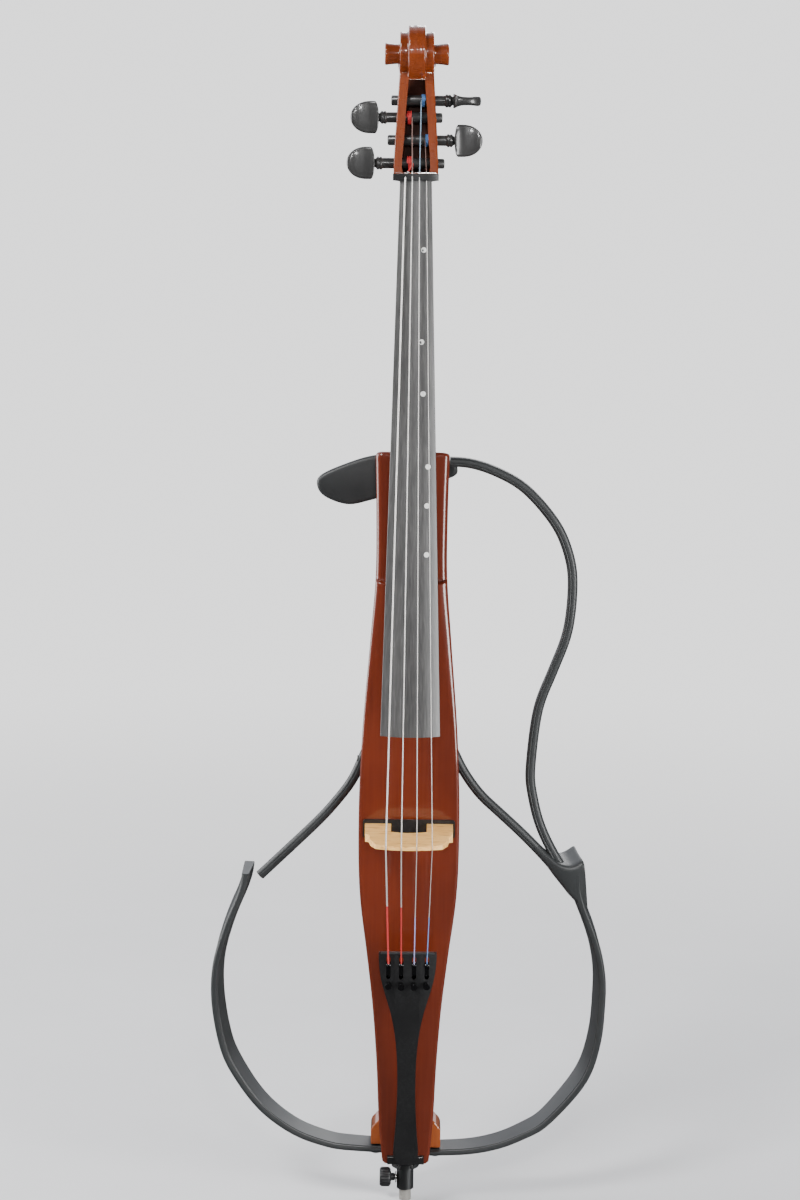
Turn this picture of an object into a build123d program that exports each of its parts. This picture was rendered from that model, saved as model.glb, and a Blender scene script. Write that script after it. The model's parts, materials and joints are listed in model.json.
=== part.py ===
"""Electric cello with a slim solid-wood body and a tubular outline frame, as separate sub-parts.

Millimetres. The origin is the centre of the retracted endpin's tip. +Z runs up the body to the
scroll, +X is to the right as seen from the front, and the strings face -Y.
"""

import math
import os

from build123d import *

# ---------------------------------------------------------------- driving dimensions
BODY_FRONT = -30.0        # front of the top plate
BODY_BACK = 32.0          # back of the body
BODY_BOTTOM = 50.0
BODY_TOP = 824.0
PLATE_T = 5.3             # top plate thickness
PLATE_TOP = 690.0         # the top plate stops here, beside the fingerboard
WALL = 5.0                # body shell wall
BLOCK_TOP = 96.0          # top of the tail block
# half widths of the body, as (height, half width)
BODY_PROFILE = [(50, 25), (89, 28.6), (168, 32.6), (224, 36.8), (285, 43.8), (345, 51.3),
                (432, 53.7), (519, 50.8), (626, 42.6), (690, 37.8), (760, 37.6), (824, 39)]

NUT_Z = 1104.0            # end of the fingerboard at the nut
BOARD_END = 535.6
BOARD_W_NUT = 32.6
BOARD_W_END = 62.0
BOARD_CROWN_NUT = -55.0   # front of the board on its centre line
BOARD_CROWN_END = -100.0
BOARD_EDGE_NUT = -52.6
BOARD_EDGE_END = -92.8
GLUE_NUT = -45.0          # joint between neck and fingerboard
GLUE_END = -85.0
DOT_HEIGHTS = [1034.3, 941.2, 888.5, 814.2, 774.3, 724.1]
DOT_OFFSETS = [8.9, 7.5, 9.6, 15.5, 14.8, 14.9]
DOT_R = 2.75
DOT_DEPTH = 3.0
NECK_HALF_NUT = 16.1      # half width of the neck at the nut
NUT_HALF = 23.4
NUT_H = 6.9

BRIDGE_Z = 423.0
BRIDGE_H = 87.5
BRIDGE_FOOT_T = 12.0
BRIDGE_TOP_T = 4.0
PICKUP_T = 2.5
PIEZO_X = 33.0            # centre of each pickup element
PIEZO_HALF = 11.0
PIEZO_T = 1.6

TAIL_TOP = 298.0
TAIL_END = 54.0
TAIL_Y_TOP = -76.0        # front face of the tailpiece at its top
TAIL_Y_END = -44.0
TAIL_T = 11.0

PEG_R = 5.5
RUN = 0.05                # radial clearance of a running fit
GAP = 0.3                 # clearance between bodies that only pass each other
PIN_R = 4.0               # endpin rod
PIN_LEN = 470.0
EYE_Y, EYE_Z = -24.0, 1232.0   # centre of the scroll
# turns of the scroll: (radius, half width)
SCROLL_TURNS = [(28.7, 8.6), (22.6, 17.4)]
SCROLL_EYE = (10.4, 32.6)

# string name: (x at tailpiece, x at bridge, x at nut, radius, peg side, peg height, winding x)
STRINGS = {
    "c": (-20.3, -24.0, -10.8, 0.85, -1, 1121.7, -3.4),
    "g": (-6.8, -8.0, -3.6, 0.60, -1, 1168.0, -4.4),
    "d": (6.8, 8.0, 3.6, 0.45, 1, 1185.2, 4.8),
    "a": (20.3, 24.0, 10.8, 0.38, 1, 1145.0, 9.0),
}
# peg: (x where the head starts, x at its tip, x of the far end, head turned edge-on)
PEG_HEADS = {
    "c": (-42.3, -71.0, 29.2, False),
    "g": (-38.4, -67.5, 26.7, False),
    "d": (37.4, 66.2, -26.0, True),
    "a": (39.2, 68.0, -29.4, False),
}

BAND_T = (11.0, 6.6)      # in-plane thickness of the lower bouts, at the horn and at the tail block
BAND_FRONT = -20.0
BAND_BACK = 37.0
ROD_W = 10.6
LEFT_BOUT = [(-179.4, 385), (-178.4, 366), (-184.6, 344), (-194.0, 322), (-202.0, 299.5),
             (-209.0, 274), (-212.0, 249), (-210.8, 218), (-203.9, 180), (-193.0, 151.4),
             (-161.8, 107), (-123.0, 77.4), (-84.1, 63.2), (-64.7, 60.4), (-29.5, 58.0)]
RIGHT_BOUT = [(188.6, 387), (185.4, 368), (187.4, 346), (194.0, 328), (202.6, 306), (210.0, 282),
              (214.4, 254), (214.3, 227), (210.4, 183), (195.4, 138.4), (154.9, 90.2),
              (131.5, 75.9), (108.0, 65.4), (84.5, 59.2), (61.0, 56.2), (29.5, 55.0)]
LEFT_ARM = [(-46.0, 503), (-60.2, 470.5), (-77.3, 446.8), (-96.0, 425.4), (-130, 392), (-168, 359)]
RIGHT_ARM = [(45.5, 505), (57.7, 480.2), (75.7, 455.1), (96, 436), (124, 410), (150, 383), (176, 351)]
UPPER_ROD = [(41.5, 812.5), (60, 811.5), (87.2, 803), (119.2, 785), (151.2, 749), (165, 720),
             (171.2, 688), (167.2, 634), (151.9, 590), (136.5, 547), (129.5, 481), (131.5, 459),
             (140, 424), (155, 392), (172, 366)]
ARM_PIN_R = 4.0
ARM_PIN_Z = 492.0
PIN_SCREW_X = 42.0
PIN_BLOCK_X = 39.0        # wood block behind each frame socket
ROD_PIN_Z = 810.0
EAR_BOLT_X = 32.5
PLUG_R = 12.0
CLAMP_Z = 24.5
PAD_Z = 796.0
PAD_BOLT_R = 5.0
RECESS_Y = -22.0
STRING_END = 285.5
GROOVE = 0.06             # clearance round a string in its groove
SCREW_Z = 264.0
TUNER_Z = 276.0
TUNER_Y = -65.2
PICKUP_SCREW_X = 45.8
PICKUP_SCREW_Z = 415.2
# by side, left first
EAR_BOTTOM = {-1: 65.4, 1: 62.0}
BOLT_LEVELS = {-1: 57.6, 1: 54.6}
TAIL_SLOPE = math.atan2(TAIL_Y_TOP - TAIL_Y_END, TAIL_TOP - TAIL_END)
TUNER_DIR = (math.cos(TAIL_SLOPE), -math.sin(TAIL_SLOPE))
TUNER_PIVOT_R = 1.25
SLOT_Z = 282.0            # middle of the tailpiece's string slots
CORD_R = 1.4

PANEL_Y = BODY_BACK + 2.0
KNOB_Z = 645.0
SWITCHES = {"reverb_switch": (624.0, 6.0), "power_switch": (608.0, 4.0)}
# jack: (x, height, bore radius, barrel radius, depth)
JACKS = {
    "line_out": (-8.5, 588.0, 3.25, 5.6, 24.0),
    "phones": (-8.5, 568.0, 1.8, 3.6, 14.0),
    "aux_in": (8.5, 568.0, 1.8, 3.6, 14.0),
    "dc_in": (8.5, 588.0, 2.75, 4.4, 10.0),
}

os.makedirs("parts", exist_ok=True)


# ---------------------------------------------------------------- helpers
def save(node, shape):
    """Writes one sub-part."""
    export_step(shape, "parts/" + node + ".step")


def block(x0, x1, y0, y1, z0, z1):
    """A box from its corners."""
    return Pos((x0 + x1) / 2, (y0 + y1) / 2, (z0 + z1) / 2) * Box(x1 - x0, y1 - y0, z1 - z0)


def rod(r, start, end):
    """A cylinder of radius r from one point to another."""
    a = Vector(*start)
    b = Vector(*end)
    plane = Plane(origin=(a + b) * 0.5, z_dir=(b - a))
    return plane * Cylinder(r, (b - a).length)


def front_plate(face, y0, y1):
    """Extrudes a face drawn as (x, z) from depth y0 to depth y1."""
    placed = Plane(origin=(0, y0, 0), x_dir=(1, 0, 0), z_dir=(0, -1, 0)) * face
    return extrude(placed, amount=y1 - y0, dir=(0, 1, 0))


def side_plate(face, x0, x1):
    """Extrudes a face drawn as (y, z) from x0 to x1."""
    placed = Plane(origin=(x0, 0, 0), x_dir=(0, 1, 0), z_dir=(1, 0, 0)) * face
    return extrude(placed, amount=x1 - x0, dir=(1, 0, 0))


def polygon(points):
    """A face with straight edges."""
    return make_face(Polyline(*points, close=True))


def ribbon(points, left_widths, right_widths):
    """A face along a smooth line; each side's width changes evenly from its first value to its second."""
    line = Spline(*points)
    steps = 5 * (len(points) - 1)
    left, right = [], []
    for i in range(steps + 1):
        t = i / steps
        p = line @ t
        d = line % t
        out = left_widths[0] + t * (left_widths[1] - left_widths[0])
        back = right_widths[0] + t * (right_widths[1] - right_widths[0])
        left.append((p.X - out * d.Y, p.Y + out * d.X))
        right.append((p.X + back * d.Y, p.Y - back * d.X))
    edges = [Spline(*left), Line(left[-1], right[-1]), Spline(*right), Line(right[0], left[0])]
    return make_face(edges)


def along(value_nut, value_end, z):
    """A value that runs straight along the fingerboard, at height z."""
    t = (NUT_Z - z) / (NUT_Z - BOARD_END)
    return value_nut + t * (value_end - value_nut)


def glue_y(z):
    """Depth of the neck-to-fingerboard joint."""
    return along(GLUE_NUT, GLUE_END, z)


# ---------------------------------------------------------------- body
def body_outline(inset=0.0, z0=BODY_BOTTOM, z1=BODY_TOP):
    """The body's outline in front view between two heights."""
    right = Spline(*[(w - inset, z) for z, w in BODY_PROFILE])
    left = Spline(*[(-w + inset, z) for z, w in BODY_PROFILE])
    foot = BODY_PROFILE[0][1] - inset
    shoulder = BODY_PROFILE[-1][1] - inset
    base = Line((-foot, BODY_BOTTOM), (foot, BODY_BOTTOM))
    top = Line((-shoulder, BODY_TOP), (shoulder, BODY_TOP))
    face = make_face([base, right, top, left])
    window = Pos(0, (z0 + z1) / 2) * Rectangle(300, z1 - z0)
    return face & window


def long_edges(shape, y, tol=0.2):
    """Edges lying at one depth that run up the body."""
    def picked(e):
        box = e.bounding_box()
        return abs(box.min.Y - y) < tol and abs(box.max.Y - y) < tol and box.size.Z > 60
    return [e for e in shape.edges() if picked(e)]


def make_body_shell():
    """Hollow wooden back and sides, open to the front, closed by the top plate."""
    front = BODY_FRONT + PLATE_T
    shell = front_plate(body_outline(z0=BLOCK_TOP), front, BODY_BACK)
    shell = fillet(long_edges(shell, BODY_BACK), 9)
    hollow = body_outline(WALL, BLOCK_TOP - 20, PLATE_TOP - 14)
    shell -= front_plate(hollow, front - 1, BODY_BACK - WALL)
    for side in (-1, 1):
        x = side * PIN_BLOCK_X
        shell += block(x - 9, x + 9, -12, BODY_BACK - WALL, ARM_PIN_Z - 9, ARM_PIN_Z + 9)
    # the front is lowered beside the fingerboard
    shell -= block(-60, 60, front - 1, RECESS_Y, PLATE_TOP, BODY_TOP + 1)
    shell = fillet([e for e in long_edges(shell, RECESS_Y) if e.bounding_box().min.Z > 600], 4)
    # openings in the back for the control panel, the jacks and the battery
    shell -= block(-19, 19, BODY_BACK - WALL - 1, BODY_BACK + 1, 556, 664)
    shell -= block(-21, 21, BODY_BACK - WALL - 1, BODY_BACK + 1, 232, 300)
    # sockets for the frame pins
    for side in (-1, 1):
        shell -= rod(ARM_PIN_R + RUN, (side * 30, 0, ARM_PIN_Z), (side * 60, 0, ARM_PIN_Z))
    shell -= rod(ARM_PIN_R + RUN, (20, 0, ROD_PIN_Z), (50, 0, ROD_PIN_Z))
    shell -= rod(PAD_BOLT_R + RUN, (0, 8, PAD_Z), (0, 40, PAD_Z))
    # holes for the two clamp screws of the removable frame side
    shell -= rod(2.55, (-PIN_SCREW_X, 4.2, ARM_PIN_Z), (-PIN_SCREW_X, 40, ARM_PIN_Z))
    return shell


def make_top_plate():
    """Front plate of the body, with rounded long edges and a notch for the saddle."""
    plate = front_plate(body_outline(z1=PLATE_TOP), BODY_FRONT, BODY_FRONT + PLATE_T)
    plate = fillet(long_edges(plate, BODY_FRONT), 2.6)
    plate -= block(-20, 20, BODY_FRONT - 1, BODY_FRONT + PLATE_T + 1, 49, 60.2)
    # pockets for the two piezo strips and the hole for their lead
    half = PIEZO_HALF + 0.1
    for side in (-1, 1):
        x = side * PIEZO_X
        plate -= block(x - half, x + half, BODY_FRONT - 1, BODY_FRONT + PIEZO_T,
                       BRIDGE_Z - 4.1, BRIDGE_Z + 4.1)
    plate -= rod(1.6, (0, -40, BRIDGE_Z), (0, 0, BRIDGE_Z))
    plate -= block(-23, 23, BODY_FRONT - 1, BODY_FRONT + PIEZO_T, BRIDGE_Z - 1.6, BRIDGE_Z + 1.6)
    return plate


def make_tail_block():
    """Bottom block: closes the shell and carries the endpin and both ends of the frame."""
    half = 27.9
    core = front_plate(body_outline(z1=BLOCK_TOP), BODY_FRONT + PLATE_T, BODY_BACK)
    corners = [e for e in core.edges() if e.bounding_box().min.Y > BODY_BACK - 0.1 and e.length > 40]
    core = fillet([e for e in corners if e.bounding_box().size.Z > 30], 9)
    for side, under in EAR_BOTTOM.items():
        ear = polygon([(half - 4, under), (38, under), (38, 82), (half - 4, 93)])
        core += mirror_x(front_plate(ear, -13, 22), side)
    core -= rod(PLUG_R + 0.02, (0, 0, 40), (0, 0, 100))
    for side in (-1, 1):
        core -= rod(2.5, (side * EAR_BOLT_X, 0, 60), (side * EAR_BOLT_X, 0, 80))
    return core


def mirror_x(shape, side):
    """The shape itself for side 1, or its mirror image for side -1."""
    return shape if side > 0 else mirror(shape, about=Plane.YZ)


# ---------------------------------------------------------------- neck, pegbox, fingerboard
def d_section(z, half, back):
    """Cross-section of the neck: flat under the fingerboard, round behind."""
    front = glue_y(z)
    face = make_face([
        Line((-half, front), (half, front)),
        Spline((half, front), (0, back), (-half, front), tangents=[(0.25, 1), (-0.25, -1)]),
    ])
    return Plane(origin=(0, 0, z)) * face


def make_neck():
    """Neck with its heel seated on the body's lowered front."""
    shaft = loft([d_section(NUT_Z, NECK_HALF_NUT, -24), d_section(880, 21.2, -35)])
    root = loft([d_section(880, 21.2, -35), d_section(858, 21.8, -26), d_section(840, 22.4, -6),
                 d_section(BODY_TOP, 23, 26)])
    profile = [(glue_y(BODY_TOP), BODY_TOP), (glue_y(PLATE_TOP), PLATE_TOP), (RECESS_Y, PLATE_TOP),
               (RECESS_Y, BODY_TOP)]
    heel = side_plate(polygon(profile), -22, 22)
    return shaft + root + heel


def board_section(z, crown, edge, width, under):
    """Cross-section of the fingerboard at height z."""
    half = width / 2
    face = make_face([
        Line((-half, under), (half, under)),
        Line((half, under), (half, edge)),
        ThreePointArc((half, edge), (0, crown), (-half, edge)),
        Line((-half, edge), (-half, under)),
    ])
    return Plane(origin=(0, 0, z)) * face


def make_fingerboard():
    """Arched fingerboard, thinner on its free end, with the flat under the lowest string."""
    board = loft([
        board_section(NUT_Z, BOARD_CROWN_NUT, BOARD_EDGE_NUT, BOARD_W_NUT, GLUE_NUT),
        board_section(BOARD_END, BOARD_CROWN_END, BOARD_EDGE_END, BOARD_W_END, GLUE_END),
    ])
    # the free end is hollowed underneath
    hollow = polygon([(-21, glue_y(640) + 30), (21, glue_y(640) + 30), (17, -86), (-17, -86)])
    board -= extrude(Plane(origin=(0, 0, BOARD_END - 1)) * hollow, amount=660 - BOARD_END)
    return board


def make_dots(board):
    """Inlaid position dots, and the board with their pockets."""
    dots = []
    for z, x in zip(DOT_HEIGHTS, DOT_OFFSETS):
        depth = along(BOARD_CROWN_NUT, BOARD_CROWN_END, z)
        drill = rod(DOT_R, (x, depth - DOT_DEPTH, z), (x, depth + DOT_DEPTH, z))
        dots += (board & drill).solids()
        board -= drill
    return board, dots


def pegbox_front(z):
    """Depth of the pegbox's open face."""
    return -52 + (z - 1111) * 0.19


def peg_y(z):
    """Depth of a peg's axis."""
    return pegbox_front(z) + 11.5


def make_pegbox():
    """Pegbox and scroll, carved from one piece."""
    back_top = (pegbox_front(1206) + 26, 1206)
    profile = polygon([(-52, 1104), (-52, 1111), (pegbox_front(1206), 1206), back_top,
                       (-19, 1150), (-15, 1104), (-17, 1098), (-24, 1094), (-24, 1104)])
    box = side_plate(profile, -30, 30)
    root = NECK_HALF_NUT
    front = polygon([(-root, 1090), (-root, 1103.6), (-NUT_HALF, NUT_Z), (-NUT_HALF, 1112), (-22, 1145),
                     (-18, 1206), (18, 1206), (22, 1145), (NUT_HALF, 1112), (NUT_HALF, NUT_Z),
                     (root, 1103.6), (root, 1090)])
    box &= front_plate(front, -80, 20)
    cavity = polygon([(-14.2, 1112), (-12.6, 1145), (-9, 1198), (9, 1198), (12.6, 1145), (14.2, 1112)])
    depth = polygon([(-70, 1112), (-70, 1198), (pegbox_front(1198) + 19, 1198), (-27, 1140), (-25, 1112)])
    box -= front_plate(cavity, -80, 20) & side_plate(depth, -30, 30)
    # scroll: the narrow outer turn, the wider inner turn and the two eyes
    centre = (EYE_Y, EYE_Z)
    for radius, half in SCROLL_TURNS:
        box += rod(radius, (-half, *centre), (half, *centre))
    eye_r, eye_end = SCROLL_EYE
    for side in (-1, 1):
        box += rod(eye_r, (side * 16, *centre), (side * eye_end, *centre))
    for name, (_, _, _, _, _, z, _) in STRINGS.items():
        box -= rod(PEG_R + RUN, (-40, peg_y(z), z), (40, peg_y(z), z))
    return box


def string_y_at_nut(name):
    """Depth of a string's centre line where it leaves the nut."""
    r = STRINGS[name][3]
    x = STRINGS[name][2]
    return BOARD_CROWN_NUT - 1.6 + 0.012 * x * x - r


def make_nut():
    """Black nut, wider than the fingerboard because it also caps the pegbox cheeks."""
    half = NUT_HALF
    face = make_face([
        Line((-half, GLUE_NUT), (half, GLUE_NUT)),
        Line((half, GLUE_NUT), (half, -53.2)),
        ThreePointArc((half, -53.2), (0, -57.6), (-half, -53.2)),
        Line((-half, -53.2), (-half, GLUE_NUT)),
    ])
    nut = extrude(Plane(origin=(0, 0, NUT_Z + 0.02)) * face, amount=NUT_H)
    nut -= block(-30, 30, -52.02, -40, NUT_Z - 1, 1112)
    for name in STRINGS:
        nut -= string_tube(name, GROOVE)
    return biggest(nut)


# ---------------------------------------------------------------- pegs and strings
def make_peg(name):
    """One tuning peg: thumb piece, collar and shaft."""
    _, _, _, _, side, z, _ = STRINGS[name]
    start, tip, far, edge_on = PEG_HEADS[name]
    y = peg_y(z)
    peg = rod(PEG_R, (far, y, z), (start - side * 8, y, z))
    peg += rod(6.7, (start - side * 7.0, y, z), (start - side * 1.6, y, z))
    peg += rod(4.0, (start - side * 9, y, z), (start + side * 3, y, z))
    length = abs(tip - start)
    height = 33.0
    outline = make_face([
        Line((0, -height / 2 + 3), (0, height / 2 - 3)),
        ThreePointArc((0, height / 2 - 3), (2, height / 2), (6, height / 2)),
        ThreePointArc((6, height / 2), (length, 0), (6, -height / 2)),
        ThreePointArc((6, -height / 2), (2, -height / 2), (0, -height / 2 + 3)),
    ])
    head = extrude(outline, amount=4.2, both=True)
    head = fillet(head.edges().filter_by(Axis.Z, reverse=True), 2.5)
    # the thumb piece is drawn along +X in the XY plane, so it is stood up to face the player
    turn = Rot(0, 0, 0) if edge_on else Rot(90, 0, 0)
    flip = Rot(0, 0, 180) if side < 0 else Rot(0, 0, 0)
    return peg + Pos(start, y, z) * turn * flip * head


def string_tube(name, extra=0.0):
    """The string's route as a tube: ball end, bridge, nut and peg."""
    x_tail, x_bridge, x_nut, r, _, z_peg, x_peg = STRINGS[name]
    start = Vector(x_tail, tail_front(STRING_END) + 1.0, STRING_END)
    bridge = Vector(x_bridge, bridge_top_y(x_bridge) - r - 0.35, BRIDGE_Z)
    nut = Vector(x_nut, string_y_at_nut(name) - 0.12, 1107.8)
    end = Vector(x_peg, peg_y(z_peg) - PEG_R - 2 * r - GAP, z_peg)
    path = FilletPolyline(start, bridge, nut, end, radius=6)
    return sweep(Plane(origin=start, z_dir=path % 0) * Circle(r + extra), path=path)


def make_string(name):
    """One string with the ball at its lower end."""
    x = STRINGS[name][0]
    return string_tube(name) + Pos(x, tail_front(STRING_END) + 1.0, STRING_END) * Sphere(2.1)


# ---------------------------------------------------------------- bridge and tailpiece
def bridge_top_y(x):
    """Depth of the bridge's curved top at x."""
    return BODY_FRONT - PICKUP_T - BRIDGE_H + 0.0058 * x * x


def make_bridge():
    """Maple bridge: two legs, a straight-sided window and a curved top."""
    foot = BODY_FRONT - PICKUP_T
    right = [(46.8, 0), (46, 40), (42, 44), (40, 63), (34.6, 79)]
    outline = [(w, foot - h) for w, h in right]
    mirrored = [(-w, y) for w, y in reversed(outline)]
    crown = ThreePointArc(outline[-1], (0, foot - BRIDGE_H), mirrored[0])
    face = make_face([Polyline(*outline), crown, Polyline(*mirrored), Line(mirrored[-1], outline[0])])
    window = make_face([
        Line((-19, foot), (19, foot)),
        Line((19, foot), (19, foot - 31)),
        ThreePointArc((19, foot - 31), (0, foot - 35.5), (-19, foot - 31)),
        Line((-19, foot - 31), (-19, foot)),
    ])
    half = BRIDGE_FOOT_T / 2
    bridge = extrude(Plane(origin=(0, 0, BRIDGE_Z - half)) * (face - window), amount=BRIDGE_FOOT_T)
    top = foot - BRIDGE_H - 1
    wedge = polygon([(foot, BRIDGE_Z - half), (top, BRIDGE_Z - BRIDGE_TOP_T / 2),
                     (top, BRIDGE_Z + BRIDGE_TOP_T / 2), (foot, BRIDGE_Z + half)])
    bridge &= side_plate(wedge, -60, 60)
    for name in STRINGS:
        bridge -= string_tube(name, GROOVE)
    return biggest(bridge)


def make_pickup_plate():
    """Thin tray under the bridge feet, over the piezo strips."""
    face = RectangleRounded(98, 20, 3)
    plate = front_plate(Pos(0, BRIDGE_Z) * face, BODY_FRONT - PICKUP_T, BODY_FRONT)
    for side in (-1, 1):
        x = side * PICKUP_SCREW_X
        plate -= rod(1.3, (x, -40, PICKUP_SCREW_Z), (x, -20, PICKUP_SCREW_Z))
    return plate


def make_pickup_screws():
    """The two small screws that hold the pickup tray."""
    screws = []
    for side in (-1, 1):
        x = side * PICKUP_SCREW_X
        z = PICKUP_SCREW_Z
        y = BODY_FRONT - PICKUP_T
        head = rod(1.6, (x, y - 1.2, z), (x, y, z))
        screws.append(head + rod(1.25, (x, y, z), (x, BODY_FRONT, z)))
    return screws


def make_piezo_strips():
    """The two pickup elements, one under each bridge foot."""
    strips = []
    for x in (-PIEZO_X, PIEZO_X):
        strips.append(block(x - PIEZO_HALF, x + PIEZO_HALF, BODY_FRONT + 0.02,
                            BODY_FRONT + PIEZO_T - 0.05, BRIDGE_Z - 4, BRIDGE_Z + 4))
    return strips


def tail_front(z):
    """Depth of the tailpiece's front face."""
    return TAIL_Y_END + (z - TAIL_END) * (TAIL_Y_TOP - TAIL_Y_END) / (TAIL_TOP - TAIL_END)


def make_tailpiece():
    """Moulded tailpiece with four string slots and a recess behind for the fine tuners."""
    right = [(30.6, TAIL_TOP), (30.2, 285), (27, 264), (19, 236), (12.2, 200), (9.8, 160),
             (10.2, 120), (12.8, 78), (13.4, 68), (11, 58), (6, TAIL_END)]
    left = [(-x, z) for x, z in reversed(right)]
    face = make_face([Spline(*right), Line(right[-1], left[0]), Spline(*left), Line(left[-1], right[0])])
    slab = front_plate(face, -110, 0)
    front = tail_front(TAIL_TOP), tail_front(TAIL_END)
    profile = polygon([(front[0], TAIL_TOP + 2), (front[0] + TAIL_T, TAIL_TOP + 2),
                       (front[1] + 7, TAIL_END - 1), (front[1], TAIL_END - 1)])
    slab &= side_plate(profile, -40, 40)
    # the front is arched across its width
    arch_r = 90
    middle = Pos(0, (front[0] + front[1]) / 2 + arch_r, (TAIL_TOP + TAIL_END) / 2)
    slab &= middle * Rot(-math.degrees(TAIL_SLOPE), 0, 0) * Cylinder(arch_r, 400)
    # recess behind, from the slots to the screws
    slab -= side_plate(polygon([(tail_front(292) + 4.5, 292), (tail_front(292) + 30, 292),
                                (tail_front(256) + 30, 256), (tail_front(256) + 4.5, 256)]), -25.5, 25.5)
    for x, _, _, _, _, _, _ in STRINGS.values():
        slot = Pos(x, SLOT_Z) * SlotOverall(26, 4.6, rotation=90)
        slab -= front_plate(slot, -110, 0)
        slab -= tuner_axis_rod(x, 2.05, -20, 20)
    slab -= rod(TUNER_PIVOT_R + RUN, (-29, TUNER_Y, TUNER_Z), (29, TUNER_Y, TUNER_Z))
    for side in (-1, 1):
        slab -= tail_cord_run(side, CORD_R + 0.1)
    return biggest(slab)


def make_tail_fret():
    """Light strip let into the top edge of the tailpiece, where the strings cross it."""
    z = TAIL_TOP + 0.02
    y = tail_front(TAIL_TOP)
    return block(-28, 28, y + 1.0, y + 5.0, z, z + 2.0)


def tuner_axis_rod(x, r, a, b):
    """A rod along a fine-tuner screw's axis, which is square to the tailpiece's front."""
    dy, dz = TUNER_DIR
    y = tail_front(SCREW_Z) + x * x / 180
    return rod(r, (x, y + a * dy, SCREW_Z + a * dz), (x, y + b * dy, SCREW_Z + b * dz))


def make_tuner_screw(x):
    """Fine-tuner screw with a knurled head in front of the tailpiece."""
    screw = tuner_axis_rod(x, 2.0, -3, 7.6 - x * x / 180)
    return screw + tuner_axis_rod(x, 3.4, -8.4, -1.4)


def make_tuner_lever(x):
    """Fine-tuner lever: pivots behind the tailpiece, from the screw's tip to the string's ball."""
    y, z = TUNER_Y, TUNER_Z
    half = 2.6
    hook = polygon([(y - 2.2, z - 3), (y + 2.6, z - 3), (y + 2.6, z + 3), (y + 1.0, z + 11),
                    (y - 2.6, z + 11), (y - 2.2, z + 3)])
    tail = polygon([(y + 0.4, z + 1), (y + 2.6, z + 1), (y + 5.0, z - 16), (y + 2.4, z - 16)])
    lever = side_plate(hook, x - half, x + half) + side_plate(tail, x - half, x + half)
    lever -= rod(TUNER_PIVOT_R + RUN, (x - 5, y, z), (x + 5, y, z))
    return lever


def make_tuner_pivot():
    """One steel rod that all four levers turn on."""
    return rod(TUNER_PIVOT_R, (-28, TUNER_Y, TUNER_Z), (28, TUNER_Y, TUNER_Z))


def make_saddle():
    """Black saddle in the top plate's notch; the tail cord bends over it."""
    saddle = block(-19.8, 19.8, BODY_FRONT - 3.4, BODY_FRONT + PLATE_T, 50.2, 60)
    edges = [e for e in saddle.edges().filter_by(Axis.X) if e.center().Y < BODY_FRONT - 3]
    return fillet(edges, 2.4)


def tail_cord_run(side, r):
    """One run of the tail cord: tailpiece, over the saddle, to the endpin plug."""
    points = [(side * 6, TAIL_Y_END + 3.6, 63), (side * 6, BODY_FRONT - 5.4, 55),
              (side * 7, BODY_FRONT - 5.0, 46.5), (side * 9, -13.5, 43)]
    path = FilletPolyline(*points, radius=3.4)
    return sweep(Plane(origin=points[0], z_dir=path % 0) * Circle(r), path=path)


# ---------------------------------------------------------------- endpin
def make_endpin_plug():
    """Plug in the tail block, with a flange and the clamp collar below it."""
    plug = rod(PLUG_R, (0, 0, 36), (0, 0, 94))
    plug += rod(15, (0, 0, 38), (0, 0, 49.8))
    plug += rod(9.2, (0, 0, 12.6), (0, 0, 39))
    plug -= rod(PIN_R + 0.06, (0, 0, 0), (0, 0, 100))
    plug -= rod(2.5 + RUN, (0, 0, CLAMP_Z), (-20, 0, CLAMP_Z))
    return plug


def make_endpin():
    """Steel endpin rod."""
    return rod(PIN_R, (0, 0, 6), (0, 0, 6 + PIN_LEN))


def make_endpin_tip():
    """Rubber foot on the endpin."""
    return rod(6.5, (0, 0, 0), (0, 0, 11.5)) - rod(PIN_R, (0, 0, 6), (0, 0, 12))


def make_clamp_screw():
    """Thumbscrew that clamps the endpin, through the collar's side."""
    screw = rod(2.5, (-(PIN_R + 0.3), 0, CLAMP_Z), (-16, 0, CLAMP_Z))
    screw += rod(10.6, (-28.0, 0, CLAMP_Z), (-15.5, 0, CLAMP_Z))
    return screw


def make_clamp_washer():
    """Steel washer between the thumbscrew and the collar."""
    disc = rod(6.2, (-10.9, 0, CLAMP_Z), (-9.6, 0, CLAMP_Z))
    return disc - rod(2.6, (-20, 0, CLAMP_Z), (0, 0, CLAMP_Z))


# ---------------------------------------------------------------- outline frame
def rounded(shape, radius, y0, y1):
    """Rounds the edges that lie on a frame piece's front and back faces."""
    def on_face(edge):
        """Whether an edge lies in the front or the back face."""
        y = edge.center().Y
        flat = edge.bounding_box().size.Y < 0.01
        return flat and min(abs(y - y0), abs(y - y1)) < 0.01
    return fillet([e for e in shape.edges() if on_face(e) and e.length > 40], radius)


def band_profile():
    """Side view of a lower bout: its depth shrinks towards the bottom."""
    return side_plate(polygon([(BAND_FRONT - 1, 30), (14, 30), (17, 70), (BAND_BACK, 200),
                               (BAND_BACK, 420), (BAND_FRONT - 1, 420)]), -260, 260)


def make_lower_bout(side):
    """One lower bout: a deep band with a horn on top and a forked end under the tail block."""
    points = LEFT_BOUT if side < 0 else RIGHT_BOUT
    widths = (BAND_T, (0, 0)) if side < 0 else ((0, 0), BAND_T)
    band = front_plate(ribbon(points, *widths), BAND_FRONT, BAND_BACK)
    band &= band_profile()
    band += make_horn(side, points[0])
    # forked end round the bolt
    if side < 0:
        band -= block(-EAR_BOLT_X - 2.8, -20, -2.8, 2.8, 40, 80)
    else:
        band -= rod(2.6, (EAR_BOLT_X, 0, 30), (EAR_BOLT_X, 0, 90))
    return band


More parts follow.
